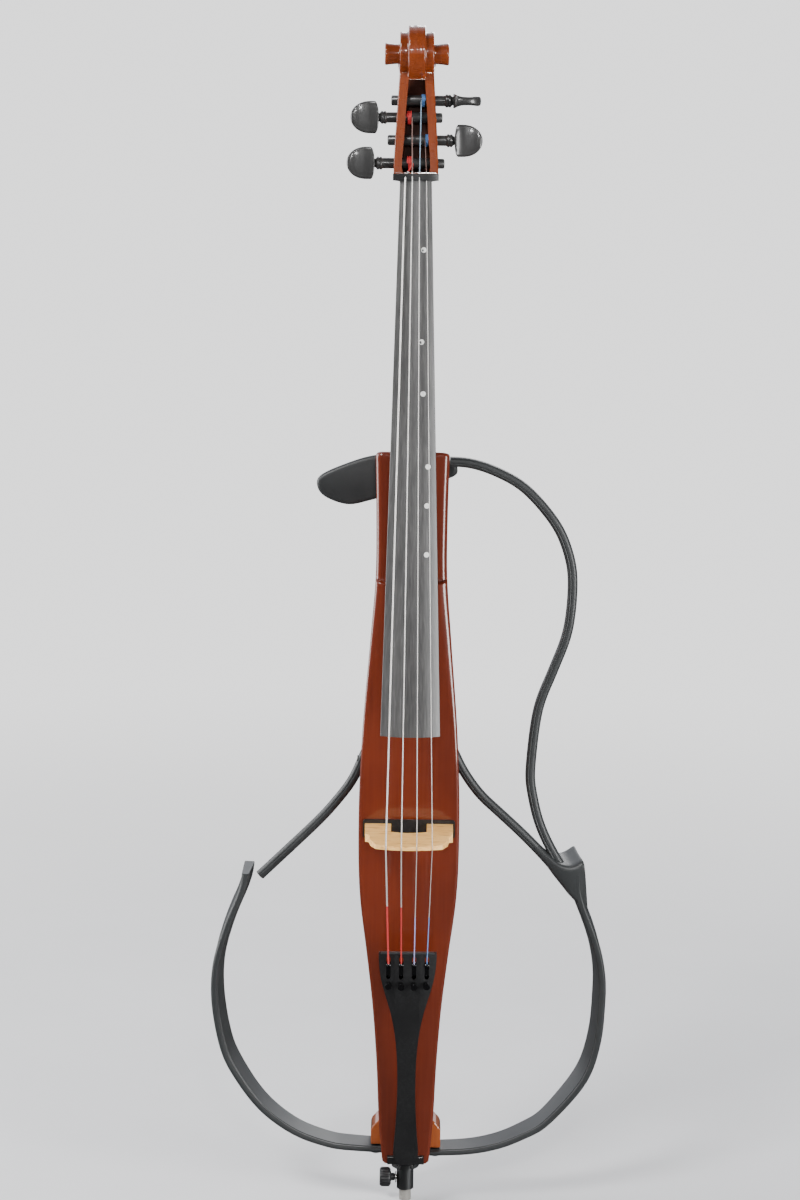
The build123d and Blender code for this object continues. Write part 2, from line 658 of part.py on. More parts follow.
def make_horn(side, tip):
    """The horn on top of a lower bout: deep at its tip, narrowing to the diagonal rod."""
    x, z = tip
    top = [(0, 2), (6, 0.5), (18, -2.5), (27, -1), (35, 4), (47, 16)]
    inner = [(58, 8), (36, -13), (19.5, -31), (9, -48)]
    face = make_face([
        Spline(*[(x - side * a, z + b) for a, b in top]),
        Line((x - side * 47, z + 16), (x - side * 58, z + 8)),
        Spline(*[(x - side * a, z + b) for a, b in inner]),
        Line((x - side * 9, z - 48), (x - side * 1, z - 18)),
        Line((x - side * 1, z - 18), (x, z + 2)),
    ])
    half = ROD_W / 2
    plan = [(0, BAND_FRONT), (22, BAND_FRONT), (60, -half), (60, half), (22, BAND_BACK), (0, BAND_BACK)]
    depth = polygon([(x - side * a, b) for a, b in plan])
    return front_plate(face, BAND_FRONT, BAND_BACK) & extrude(Plane(origin=(0, 0, z - 60)) * depth, amount=90)


def make_arm(side, bout):
    """Diagonal rod from the horn to the side of the body, with its locating pin."""
    points = LEFT_ARM if side < 0 else RIGHT_ARM
    path = FilletPolyline(*[(x, 0, z) for x, z in points], radius=60)
    arm = sweep(Plane(origin=path @ 0, z_dir=path % 0) * Circle(ROD_W / 2), path=path)
    arm -= front_plate(body_outline(-GAP), -40, 40)
    arm += rod(ARM_PIN_R, (side * 34, 0, ARM_PIN_Z), (side * 56, 0, ARM_PIN_Z))
    arm -= bout
    return biggest(arm)


def make_upper_rod(bout, arm):
    """Upper bout rod, from the body's shoulder down to the right horn."""
    half = ROD_W / 2
    deep = 7
    bar = front_plate(ribbon(UPPER_ROD, (half, half), (half, half)), -deep, deep)
    bar = rounded(bar, 4.2, -deep, deep)
    bar -= front_plate(body_outline(-GAP), -40, 40)
    bar += rod(ARM_PIN_R, (24, 0, ROD_PIN_Z), (46, 0, ROD_PIN_Z))
    bar -= bout
    bar -= arm
    return biggest(bar)


def biggest(shape):
    """The largest solid of a cut."""
    return max(shape.solids(), key=lambda s: s.volume)


def make_frame_bolt(side, level):
    """Bolt with a washer face that holds a lower bout's end under the tail block."""
    x = side * EAR_BOLT_X
    return rod(2.4, (x, 0, level - 1), (x, 0, 78)) + rod(5.0, (x, 0, level - 4.6), (x, 0, level - 0.6))


def make_pin_screw():
    """Thumbscrew in the back of the body that clamps the removable side's pin."""
    x = -PIN_SCREW_X
    y0 = ARM_PIN_R + GAP
    screw = rod(2.5, (x, y0, ARM_PIN_Z), (x, 36, ARM_PIN_Z))
    knob = rod(7.5, (x, 34, ARM_PIN_Z), (x, 42, ARM_PIN_Z))
    return screw + knob


# ---------------------------------------------------------------- chest pad
def make_chest_pad():
    """Leaf-shaped chest rest that turns on a bolt behind the shoulder."""
    edge = Spline((0, 817), (-39, 815.2), (-70.7, 805.9), (-98.4, 792.7), (-101.5, 780), (-91.9, 769),
                  (-68.8, 761.7), (-44.4, 766.4), (0, 780), (41.6, 791.5), (48.4, 801), (40, 810),
                  periodic=True)
    plate = front_plate(make_face(edge), BODY_BACK + 4, BODY_BACK + 12)
    rims = [e for e in plate.edges() if e.bounding_box().size.Y < 0.01]
    plate = fillet(rims, 2.6)
    plate += rod(13, (0, BODY_BACK + GAP, PAD_Z), (0, BODY_BACK + 5, PAD_Z))
    return plate - rod(PAD_BOLT_R + RUN, (0, 0, PAD_Z), (0, 60, PAD_Z))


def make_pad_bolt():
    """Bolt that the chest pad turns on."""
    bolt = rod(PAD_BOLT_R, (0, 9, PAD_Z), (0, BODY_BACK + 12.3, PAD_Z))
    return bolt + rod(9, (0, BODY_BACK + 12.3, PAD_Z), (0, BODY_BACK + 16.5, PAD_Z))


# ---------------------------------------------------------------- controls, power and wiring
def make_control_panel():
    """Plate in the back of the body with the controls and the jacks."""
    panel = front_plate(Pos(0, 610) * RectangleRounded(46, 116, 6), BODY_BACK + 0.02, PANEL_Y)
    panel -= rod(3.05, (0, 20, KNOB_Z), (0, 50, KNOB_Z))
    for z, travel in SWITCHES.values():
        panel -= block(-4 - travel, 4 + travel, 20, 50, z - 2.4, z + 2.4)
    for x, z, _, barrel, _ in JACKS.values():
        panel -= rod(barrel + 0.02, (x, 20, z), (x, 50, z))
    for x, z in panel_screw_points():
        panel -= rod(1.3, (x, 20, z), (x, 50, z))
    return panel


def panel_screw_points():
    """Corners where the control panel is screwed down."""
    return [(sx * 20, z) for sx in (-1, 1) for z in (556.5, 663.5)]


def make_panel_screws():
    """Four screws at the corners of the control panel."""
    screws = []
    for x, z in panel_screw_points():
        head = rod(2.4, (x, PANEL_Y, z), (x, PANEL_Y + 1.2, z))
        screws.append(head + rod(1.28, (x, BODY_BACK, z), (x, PANEL_Y, z)))
    return screws


def make_volume_knob():
    """Volume knob with a pointer groove, on its shaft."""
    knob = rod(8.5, (0, PANEL_Y + GAP, KNOB_Z), (0, PANEL_Y + 11, KNOB_Z))
    knob += rod(3.0, (0, 20, KNOB_Z), (0, PANEL_Y + 2, KNOB_Z))
    return knob - block(-0.6, 0.6, PANEL_Y + 10, PANEL_Y + 12, KNOB_Z, KNOB_Z + 9)


def make_switch(name):
    """Slide switch cap, at the left end of its slot."""
    z, travel = SWITCHES[name]
    return block(-3.6 - travel, 3.6 - travel, PANEL_Y - 5, PANEL_Y + 2.4, z - 2.1, z + 2.1)


def make_jack(x, z, bore, barrel, depth):
    """A jack socket: a barrel with a straight bore, open at the panel's face."""
    body = rod(barrel, (x, PANEL_Y - depth - 2, z), (x, PANEL_Y + 0.6, z))
    return body - rod(bore, (x, PANEL_Y - depth, z), (x, PANEL_Y + 3, z))


def make_potentiometer():
    """Potentiometer body that the volume knob turns."""
    pot = rod(8, (0, 12, KNOB_Z), (0, 27, KNOB_Z))
    return pot - rod(3.0 + RUN, (0, 19.5, KNOB_Z), (0, 40, KNOB_Z))


def make_circuit_board():
    """Preamplifier and effects board inside the body."""
    return block(-24, 24, 5.4, 7.0, 520, 664)


def make_board_chips():
    """Integrated circuits and capacitors on the board."""
    places = ((-12, 540), (10, 548), (-15, 628))
    chips = [block(x - 5, x + 5, 7.0, 9.2, z - 5, z + 5) for x, z in places]
    chips += [rod(3, (x, 7.0, z), (x, 14.5, z)) for x, z in ((16, 530), (18, 620), (18, 632))]
    return chips


def make_battery_box():
    """Open tray for two cells, fixed in the back of the body."""
    tray = block(-20.6, 20.6, 8.0, BODY_BACK - 1.6, 234, 298)
    return tray - block(-19, 19, 9.6, BODY_BACK, 236, 296)


def make_battery_cells():
    """Two cells side by side."""
    return [rod(7.1, (x, 17.5, 241), (x, 17.5, 291)) for x in (-8.4, 8.4)]


def make_battery_cover():
    """Cover over the cells; it pulls straight off the back."""
    cover = front_plate(Pos(0, 266) * RectangleRounded(50, 78, 5), BODY_BACK + GAP, BODY_BACK + 2.6)
    lip = block(-20.4, 20.4, BODY_BACK - 1.2, BODY_BACK + 1, 232.6, 299.4)
    lip -= block(-18.6, 18.6, BODY_BACK - 2, BODY_BACK + GAP, 234.6, 297.4)
    return cover + lip


def make_pickup_lead():
    """Lead from the pickup, through the top plate and up inside the body to the board."""
    points = [(0, -28.6, BRIDGE_Z), (0, -14, BRIDGE_Z), (10, -12, BRIDGE_Z + 14), (14, -10, 470),
              (14, -6, 500), (12, 6.2, 518.6)]
    path = FilletPolyline(*points, radius=6)
    section = Plane(origin=points[0], z_dir=path % 0) * Circle(1.1)
    return sweep(section, path=path)


# ---------------------------------------------------------------- build
def main():
    """Builds every sub-part and writes it."""
    save("body_shell", make_body_shell())
    save("top_plate", make_top_plate())
    save("tail_block", make_tail_block())
    save("neck", make_neck())
    board, dots = make_dots(make_fingerboard())
    save("fingerboard", board)
    save("position_dots", Compound(children=dots))
    save("pegbox_scroll", make_pegbox())
    save("nut", make_nut())
    for name, (x_tail, *_) in STRINGS.items():
        save("peg_" + name, make_peg(name))
        save("string_" + name, make_string(name))
        save("tuner_screw_" + name, make_tuner_screw(x_tail))
        save("tuner_lever_" + name, make_tuner_lever(x_tail))
    save("tuner_pivot_rod", make_tuner_pivot())
    save("bridge", make_bridge())
    save("pickup_plate", make_pickup_plate())
    save("piezo_strips", Compound(children=make_piezo_strips()))
    save("tailpiece", make_tailpiece())
    save("tail_fret", make_tail_fret())
    save("saddle", make_saddle())
    save("tail_cord", Compound(children=[tail_cord_run(side, CORD_R) for side in (-1, 1)]))
    save("endpin_plug", make_endpin_plug())
    save("endpin_rod", make_endpin())
    save("endpin_tip", make_endpin_tip())
    save("endpin_thumbscrew", make_clamp_screw())
    save("endpin_washer", make_clamp_washer())
    left = make_lower_bout(-1)
    right = make_lower_bout(1)
    right_arm = make_arm(1, right)
    save("lower_bout_left", left)
    save("lower_bout_right", right)
    save("frame_arm_left", make_arm(-1, left))
    save("frame_arm_right", right_arm)
    save("upper_bout_rod", make_upper_rod(right, right_arm))
    bolts = [make_frame_bolt(side, level) for side, level in BOLT_LEVELS.items()]
    save("frame_bolts", Compound(children=bolts))
    save("frame_pin_screw", make_pin_screw())
    save("chest_pad", make_chest_pad())
    save("chest_pad_bolt", make_pad_bolt())
    save("control_panel", make_control_panel())
    save("small_screws", Compound(children=make_pickup_screws() + make_panel_screws()))
    save("volume_knob", make_volume_knob())
    save("potentiometer", make_potentiometer())
    for name in SWITCHES:
        save(name, make_switch(name))
    save("line_out_jack", make_jack(*JACKS["line_out"]))
    save("dc_jack", make_jack(*JACKS["dc_in"]))
    minis = [make_jack(*JACKS[name]) for name in ("phones", "aux_in")]
    save("mini_jacks", Compound(children=minis))
    save("circuit_board", Compound(children=[make_circuit_board()] + make_board_chips()))
    save("battery_box", make_battery_box())
    save("battery_cells", Compound(children=make_battery_cells()))
    save("battery_cover", make_battery_cover())
    save("pickup_lead", make_pickup_lead())


main()
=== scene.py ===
"""Looks of the electric cello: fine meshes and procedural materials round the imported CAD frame."""

import json
import math

import bmesh
import bpy
import numpy as np
from mathutils import Matrix, Vector


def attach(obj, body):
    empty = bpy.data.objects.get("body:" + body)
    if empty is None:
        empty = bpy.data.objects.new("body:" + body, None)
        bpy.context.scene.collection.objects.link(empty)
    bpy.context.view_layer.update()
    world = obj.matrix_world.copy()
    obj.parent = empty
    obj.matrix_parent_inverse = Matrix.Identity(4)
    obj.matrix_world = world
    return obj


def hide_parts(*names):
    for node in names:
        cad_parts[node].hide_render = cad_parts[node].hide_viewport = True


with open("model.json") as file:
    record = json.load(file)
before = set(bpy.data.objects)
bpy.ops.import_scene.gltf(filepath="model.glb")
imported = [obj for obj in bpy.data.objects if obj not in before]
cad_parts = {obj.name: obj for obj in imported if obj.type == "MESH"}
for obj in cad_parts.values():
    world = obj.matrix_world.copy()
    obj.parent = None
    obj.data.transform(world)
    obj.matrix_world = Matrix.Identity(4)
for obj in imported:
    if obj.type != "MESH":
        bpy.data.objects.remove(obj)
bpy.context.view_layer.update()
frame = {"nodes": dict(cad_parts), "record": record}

MM = 0.001
ROOT = "instrument"

# ---------------------------------------------------------------- driving shapes, in mm
BODY_FRONT, BODY_BACK = -30.0, 32.0
PLATE_BACK = -24.7
PLATE_TOP = 690.0
BODY_BOTTOM, BODY_TOP = 50.0, 824.0
RECESS_Y = -22.0
BODY_PROFILE = [(50, 25), (89, 28.6), (168, 32.6), (224, 36.8), (285, 43.8), (345, 51.3),
                (432, 53.7), (519, 50.8), (626, 42.6), (690, 37.8), (760, 37.6), (824, 39)]
LEFT_BOUT = [(-179.4, 385), (-178.4, 366), (-184.6, 344), (-194.0, 322), (-202.0, 299.5),
             (-209.0, 274), (-212.0, 249), (-210.8, 218), (-203.9, 180), (-193.0, 151.4),
             (-161.8, 107), (-123.0, 77.4), (-84.1, 63.2), (-64.7, 60.4), (-26.2, 58.0)]
RIGHT_BOUT = [(188.6, 387), (185.4, 368), (187.4, 346), (194.0, 328), (202.6, 306), (210.0, 282),
              (214.4, 254), (214.3, 227), (210.4, 183), (195.4, 138.4), (154.9, 90.2),
              (131.5, 75.9), (108.0, 65.4), (84.5, 59.2), (61.0, 56.2), (26.2, 55.0)]
LEFT_ARM = [(-46.0, 503), (-60.2, 470.5), (-77.3, 446.8), (-96.0, 425.4), (-130, 392), (-160, 363)]
RIGHT_ARM = [(45.5, 505), (57.7, 480.2), (75.7, 455.1), (96, 436), (124, 410), (150, 383), (168, 361)]
UPPER_ROD = [(39.5, 812.5), (60, 811.5), (87.2, 803), (119.2, 785), (151.2, 749), (165, 720),
             (171.2, 688), (167.2, 634), (151.9, 590), (136.5, 547), (129.5, 481), (131.5, 459),
             (140, 424), (155, 392), (170, 368)]
BAND_FRONT, BAND_BACK = -20.0, 37.0
NUT_Z, BOARD_END = 1104.0, 535.6
EYE_Y, EYE_Z = -24.0, 1232.0
BRIDGE_Z = 423.0
BRIDGE_CROWN = -120.0      # front of the bridge on its centre line
ARM_PIN_Z = 492.0
CLAMP_Z = 24.5
PAD_Z = 796.0
STRING_END = 285.5         # height of the strings' ball ends
TAIL_TOP, TAIL_END = 298.0, 54.0
TAIL_Y_TOP, TAIL_Y_END = -76.0, -44.0
PEG_R = 5.5
ROD_HALF = 5.3
# string: (x at tailpiece, x at bridge, x at nut, radius, peg side, peg height, winding x)
STRINGS = {
    "c": (-20.3, -24.0, -10.8, 0.85, -1, 1121.7, -3.4),
    "g": (-6.8, -8.0, -3.6, 0.60, -1, 1168.0, -4.4),
    "d": (6.8, 8.0, 3.6, 0.45, 1, 1185.2, 4.8),
    "a": (20.3, 24.0, 10.8, 0.38, 1, 1145.0, 9.0),
}
# peg: (x where the head starts, x at its tip, x of the far end, head turned edge-on)
PEG_HEADS = {
    "c": (-42.3, -71.0, 29.2, False),
    "g": (-38.4, -67.5, 26.7, False),
    "d": (37.4, 66.2, -26.0, True),
    "a": (39.2, 68.0, -29.4, False),
}


# ---------------------------------------------------------------- materials
def add_node(tree, kind, inputs=None, **values):
    """Adds a node, sets its properties, and feeds its inputs with values or other nodes' outputs."""
    made = tree.nodes.new(kind)
    for key, value in values.items():
        setattr(made, key, value)
    for key, source in (inputs or {}).items():
        if isinstance(source, bpy.types.NodeSocket):
            tree.links.new(source, made.inputs[key])
        else:
            made.inputs[key].default_value = source
    return made


class Look:
    """A node material under construction."""

    def __init__(self, name):
        self.mat = bpy.data.materials.new(name)
        self.mat.use_nodes = True
        self.tree = self.mat.node_tree
        self.bsdf = self.tree.nodes["Principled BSDF"]
        self.coord = self.node("ShaderNodeTexCoord").outputs["Object"]

    def node(self, kind, inputs=None, **values):
        """Adds a node to the material."""
        return add_node(self.tree, kind, inputs, **values)

    def link(self, out, into):
        """Links an output to a socket."""
        self.tree.links.new(out, into)

    def set(self, **values):
        """Sets constants on the shader; spaces in a socket's name are underscores."""
        for key, value in values.items():
            self.bsdf.inputs[key.replace("_", " ")].default_value = value

    def mapped(self, scale):
        """The object's coordinates in metres, scaled along each axis."""
        return self.node("ShaderNodeMapping", {"Scale": scale, "Vector": self.coord}).outputs["Vector"]

    def noise(self, scale, detail=4.0, rough=0.55, stretch=(1, 1, 1), distort=0.0):
        """Noise in the object's space; scale is in cycles per metre."""
        inputs = {"Scale": scale, "Detail": detail, "Roughness": rough, "Distortion": distort,
                  "Vector": self.mapped(stretch)}
        return self.node("ShaderNodeTexNoise", inputs).outputs["Fac"]

    def wave(self, scale, distort, direction="X"):
        """Bands in the object's space."""
        inputs = {"Scale": scale, "Distortion": distort, "Detail": 3.0, "Detail Scale": 1.5,
                  "Vector": self.coord}
        return self.node("ShaderNodeTexWave", inputs, bands_direction=direction).outputs["Fac"]

    def ramp(self, fac, stops):
        """A colour ramp; stops are (position, colour)."""
        ramp = self.node("ShaderNodeValToRGB")
        points = ramp.color_ramp.elements
        while len(points) < len(stops):
            points.new(0.5)
        for point, (place, colour) in zip(points, stops):
            point.position = place
            point.color = (*colour, 1.0)
        self.link(fac, ramp.inputs["Fac"])
        return ramp.outputs["Color"]

    def mix(self, fac, a, b, mode="MIX"):
        """Mixes two colours; fac is an output or a number."""
        first, second = ((*c, 1.0) if isinstance(c, tuple) else c for c in (a, b))
        inputs = {0: fac, 6: first, 7: second}
        return self.node("ShaderNodeMix", inputs, data_type="RGBA", blend_type=mode).outputs[2]

    def spread(self, fac, low, high):
        """Maps 0..1 to low..high."""
        inputs = {"To Min": low, "To Max": high, "Value": fac}
        return self.node("ShaderNodeMapRange", inputs).outputs["Result"]

    def colour(self, source):
        """Sets the base colour."""
        self.link(source, self.bsdf.inputs["Base Color"])

    def roughness(self, fac, low, high):
        """Lets the roughness follow fac between two values."""
        self.link(self.spread(fac, low, high), self.bsdf.inputs["Roughness"])

    def bump(self, fac, distance, strength=1.0):
        """Adds a bump of the given depth in metres on top of any earlier one."""
        bump = self.node("ShaderNodeBump", {"Strength": strength, "Distance": distance, "Height": fac})
        old = self.bsdf.inputs["Normal"].links
        if old:
            self.link(old[0].from_socket, bump.inputs["Normal"])
        self.link(bump.outputs["Normal"], self.bsdf.inputs["Normal"])

    def edge_wear(self, colour, tone, amount):
        """Lightens convex edges; colour is the surface's colour so far."""
        geo = self.node("ShaderNodeNewGeometry")
        mask = self.ramp(geo.outputs["Pointiness"], [(0.52, (0, 0, 0)), (0.60, (1, 1, 1))])
        scratch = self.noise(420, 6, 0.7)
        rough = self.ramp(scratch, [(0.45, (0, 0, 0)), (0.62, (1, 1, 1))])
        both = self.mix(amount, (0.0, 0.0, 0.0), self.mix(1.0, mask, rough, "MULTIPLY"))
        return self.mix(both, colour, tone)


def varnish(name, dark, mid, light, rough, coat, grain_strength=0.45):
    """Varnished maple or spruce: long grain, faint cross figure and fine pores under a clear coat."""
    look = Look(name)
    grain = look.noise(300, 6, 0.6, (1, 1, 0.035), 0.4)
    flame = look.noise(30, 3, 0.5, (0.55, 0.55, 1.0), 0.8)
    cloud = look.noise(9, 3, 0.5)
    base = look.mix(grain_strength, mid, look.ramp(grain, [(0.30, dark), (0.52, mid), (0.74, light)]))
    tint = look.ramp(flame, [(0.35, (0.84, 0.80, 0.78)), (0.65, (1.0, 1.0, 1.0))])
    base = look.mix(0.4, base, tint, "MULTIPLY")
    patch = look.ramp(cloud, [(0.35, (0.86, 0.82, 0.80)), (0.7, (1.0, 1.0, 1.0))])
    look.colour(look.mix(0.6, base, patch, "MULTIPLY"))
    look.roughness(look.noise(60, 5, 0.6), rough - 0.05, rough + 0.07)
    look.bump(grain, 0.00004)
    look.bump(look.noise(26, 2), 0.00025, 0.35)
    look.set(Coat_Weight=coat, Coat_Roughness=0.05, Coat_IOR=1.5, Specular_IOR_Level=0.25)
    return look.mat


def ebony_look():
    """Oiled ebony: near black with fine grey-brown streaks along the board."""
    look = Look("ebony")
    streak = look.noise(520, 6, 0.65, (1, 1, 0.02), 0.3)
    broad = look.noise(90, 3, 0.5, (1, 1, 0.03))
    base = look.ramp(streak, [(0.3, (0.052, 0.051, 0.050)), (0.55, (0.085, 0.083, 0.081)),
                              (0.75, (0.135, 0.131, 0.128))])
    tint = look.ramp(broad, [(0.35, (0.62, 0.62, 0.62)), (0.65, (1.0, 1.0, 1.0))])
    look.colour(look.mix(0.8, base, tint, "MULTIPLY"))
    look.roughness(streak, 0.30, 0.46)
    look.bump(streak, 0.00005)
    look.set(Specular_IOR_Level=0.75)
    return look.mat


def plastic(name, base, rough, grain=0.00002, scale=1600, coat=0.0, tint=1.35, wear=None):
    """Moulded or coated surface with a fine texture and slight tone changes."""
    look = Look(name)
    fine = look.noise(scale, 3, 0.6)
    cloud = look.noise(24, 4, 0.6)
    light = tuple(c * tint for c in base)
    tone = look.ramp(cloud, [(0.3, base), (0.7, light)])
    tone = look.mix(0.25, tone, look.ramp(fine, [(0.4, base), (0.6, light)]))
    look.colour(look.edge_wear(tone, wear, 0.35) if wear else tone)
    look.roughness(look.noise(48, 5, 0.6), rough - 0.06, rough + 0.08)
    look.bump(fine, grain)
    look.set(Coat_Weight=coat, Coat_Roughness=0.12)
    return look.mat


def metal(name, base, rough, stretch=(1, 1, 12)):
    """Plated or brushed metal with fine directional marks."""
    look = Look(name)
    brush = look.noise(900, 4, 0.6, stretch)
    look.colour(look.ramp(brush, [(0.3, tuple(c * 0.8 for c in base)), (0.7, base)]))
    look.roughness(brush, rough - 0.05, rough + 0.08)
    look.bump(brush, 0.00001)
    look.set(Metallic=1.0)
    return look.mat


def maple_look():
    """Bare bridge maple with darker flecks and a soft grain."""
    look = Look("bridge_maple")
    grain = look.noise(700, 5, 0.6, (0.06, 1, 1), 0.3)
    fleck = look.noise(260, 3, 0.4, (0.25, 1, 1), 0.2)
    base = look.ramp(grain, [(0.3, (0.86, 0.42, 0.10)), (0.55, (1.0, 0.58, 0.18)), (0.8, (1.0, 0.68, 0.27))])
    dots = look.ramp(fleck, [(0.58, (1, 1, 1)), (0.68, (0.72, 0.58, 0.45))])
    look.colour(look.mix(0.8, base, dots, "MULTIPLY"))
    look.roughness(grain, 0.42, 0.56)
    look.bump(grain, 0.00004)
    return look.mat


def wound(name, base, metallic, rough, pitch):
    """String or silk: fine turns wound round the length."""
    look = Look(name)
    turns = look.wave(1.0 / pitch / 6.0, 0.0, direction="Z")
    worn = look.noise(180, 4, 0.6)
    # deep: a darker colour; along the turns' wave it is painted shade in the grooves between turns, and under
    # the worn noise it is wear
    deep = tuple(c * 0.62 for c in base)
    tone = look.mix(look.spread(turns, 0.0, 0.55), base, deep)
    look.colour(look.mix(look.spread(worn, 0.0, 0.35), tone, deep))
    look.roughness(worn, rough - 0.05, rough + 0.1)
    look.bump(turns, 0.00006)
    look.set(Metallic=metallic)
    return look.mat


def board_look():
    """Printed circuit board with faint tracks."""
    look = Look("board_green")
    tracks = look.wave(90, 3.0, direction="X")
    look.colour(look.ramp(tracks, [(0.45, (0.02, 0.10, 0.04)), (0.55, (0.04, 0.20, 0.08))]))
    look.roughness(tracks, 0.3, 0.45)
    look.bump(tracks, 0.00005)
    return look.mat


LOOKS = {
    "varnished_wood": varnish("body_varnish", (0.088, 0.012, 0.0042), (0.142, 0.0205, 0.0062),
                              (0.19, 0.031, 0.0098), 0.34, 0.9, 0.35),
    "scroll_wood": varnish("scroll_varnish", (0.13, 0.022, 0.005), (0.195, 0.036, 0.007),
                           (0.27, 0.056, 0.011), 0.26, 1.0),
    "ear_wood": varnish("ear_varnish", (0.26, 0.055, 0.012), (0.36, 0.085, 0.018),
                        (0.46, 0.13, 0.03), 0.30, 1.0),
    # darker copy of the scroll varnish, without its coat: painted shade inside the pegbox's cavity
    "cavity_painted_shade": varnish("cavity_painted_shade", (0.035, 0.008, 0.003), (0.055, 0.013, 0.005),
                           (0.08, 0.02, 0.008), 0.6, 0.0),
    "collar_metal": metal("collar_metal", (0.24, 0.245, 0.25), 0.34, (12, 12, 1)),
    "ebony": ebony_look(),
    "black_wood": plastic("black_nut", (0.012, 0.012, 0.012), 0.32, coat=0.3),
    "maple": maple_look(),
    "black_composite": plastic("tail_black", (0.006, 0.006, 0.0065), 0.46, wear=(0.03, 0.03, 0.03)),
    "peg_black": plastic("peg_black", (0.022, 0.0215, 0.021), 0.34, 0.00001, 900, 0.4),
    "frame_black": plastic("frame_charcoal", (0.024, 0.026, 0.0265), 0.44, 0.000012, 1400, 0.0, 1.3),
    "steel": metal("steel", (0.62, 0.62, 0.64), 0.28),
    "black_steel": metal("black_steel", (0.12, 0.12, 0.125), 0.24),
    "string_metal": wound("string_metal", (0.93, 0.90, 0.86), 0.55, 0.30, 0.0009),
    "white_inlay": plastic("pearl_dot", (0.80, 0.80, 0.77), 0.25, 0.00001, 500, 0.5, 1.08),
    "rubber": plastic("rubber_tip", (0.22, 0.21, 0.19), 0.6, 0.00006, 700),
    "cord_black": plastic("cord_black", (0.02, 0.02, 0.02), 0.6, 0.0001, 1500),
    "panel_black": plastic("panel_black", (0.020, 0.020, 0.022), 0.5, 0.00005, 2200),
    "knob_black": plastic("knob_black", (0.016, 0.016, 0.017), 0.38, 0.00002, 1200),
    "jack_metal": metal("nickel", (0.58, 0.57, 0.55), 0.25),
    "strip_grey": plastic("strip_grey", (0.035, 0.035, 0.036), 0.28, coat=0.5),
    "board_green": board_look(),
    "cell_wrap": metal("cell_wrap", (0.16, 0.16, 0.19), 0.3),
    "piezo_brass": metal("piezo_brass", (0.62, 0.45, 0.18), 0.3),
    "silk_red": wound("silk_red", (0.60, 0.030, 0.030), 0.0, 0.55, 0.0006),
    "silk_blue": wound("silk_blue", (0.13, 0.30, 0.66), 0.0, 0.55, 0.0006),
    "silk_lilac": wound("silk_lilac", (0.42, 0.40, 0.72), 0.0, 0.55, 0.0006),
    "silk_pale": wound("silk_pale", (0.30, 0.42, 0.55), 0.0, 0.5, 0.0006),
    "silk_brown": wound("silk_brown", (0.22, 0.13, 0.11), 0.2, 0.45, 0.0006),
}
slot_of = {row["node"]: row["material_slot"] for row in frame["record"]["subparts"]}


# ---------------------------------------------------------------- mesh helpers
def smooth_line(points, steps, relax=0):
    """Points along a Catmull-Rom curve through the given ones, evenly spaced along its length.

    relax evens out the curvature: how many times each point moves halfway to its neighbours' middle."""
    pts = np.array(points, float)
    ends = np.vstack([2 * pts[0] - pts[1], pts, 2 * pts[-1] - pts[-2]])
    dense = []
    for i in range(len(pts) - 1):
        p0, p1, p2, p3 = ends[i:i + 4]
        for t in np.linspace(0, 1, 24, endpoint=False):
            dense.append(0.5 * (2 * p1 + (p2 - p0) * t + (2 * p0 - 5 * p1 + 4 * p2 - p3) * t ** 2
                                + (3 * p1 - p0 - 3 * p2 + p3) * t ** 3))
    dense.append(pts[-1])
    dense = np.array(dense)
    along = np.concatenate([[0], np.cumsum(np.linalg.norm(np.diff(dense, axis=0), axis=1))])
    even = np.linspace(0, along[-1], steps)
    line = np.stack([np.interp(even, along, dense[:, k]) for k in range(dense.shape[1])], 1)
    for _ in range(relax):
        line[1:-1] = 0.5 * line[1:-1] + 0.25 * (line[:-2] + line[2:])
    return line


def value_at(table, x):
    """Smooth value at x from a list of (x, value) pairs."""
    xs = np.array([p[0] for p in table], float)
    ys = np.array([p[1] for p in table], float)
    slopes = np.gradient(ys, xs)
    i = int(np.clip(np.searchsorted(xs, x) - 1, 0, len(xs) - 2))
    h = xs[i + 1] - xs[i]
    t = float(np.clip((x - xs[i]) / h, 0, 1))
    return ((2 * t ** 3 - 3 * t ** 2 + 1) * ys[i] + (t ** 3 - 2 * t ** 2 + t) * h * slopes[i]
            + (3 * t ** 2 - 2 * t ** 3) * ys[i + 1] + (t ** 3 - t ** 2) * h * slopes[i + 1])


def body_half(z):
    """Half width of the body at height z."""
    return value_at(BODY_PROFILE, z)


def piece(name, verts, faces, body, slot, look=None, replaced=(), bevel=0.0, angle=35):
    """Makes a mesh object in mm; gives it a body, the look's material (or its slot's, when no look is given)
    and smooth shading.
    """
    mesh = bpy.data.meshes.new(name)
    mesh.from_pydata([tuple(float(c) * MM for c in v) for v in verts], [], faces)
    mesh.validate()
    outward(mesh)
    obj = bpy.data.objects.new(name, mesh)
    bpy.context.collection.objects.link(obj)
    mesh.materials.append(LOOKS[look or slot])
    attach(obj, body)
    if replaced:
        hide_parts(*replaced)
    if bevel:
        add_bevel(obj, bevel)
    shade(obj, angle)
    return obj


def outward(mesh):
    """Makes all faces point outwards."""
    work = bmesh.new()
    work.from_mesh(mesh)
    bmesh.ops.recalc_face_normals(work, faces=work.faces)
    work.to_mesh(mesh)
    work.free()


def add_bevel(obj, width):
    """Rounds sharp edges by a few tenths of a millimetre."""
    mod = obj.modifiers.new("round", "BEVEL")
    mod.width = width * MM
    mod.segments = 2
    mod.limit_method = "ANGLE"
    mod.angle_limit = math.radians(32)


def select(*objects):
    """Selects these objects only, and makes the last one active."""
    for other in bpy.context.selected_objects:
        other.select_set(False)
    for obj in objects:
        obj.select_set(True)
        bpy.context.view_layer.objects.active = obj


def shade(obj, angle):
    """Smooth shading except across sharp edges."""
    select(obj)
    bpy.ops.object.shade_smooth_by_angle(angle=math.radians(angle))


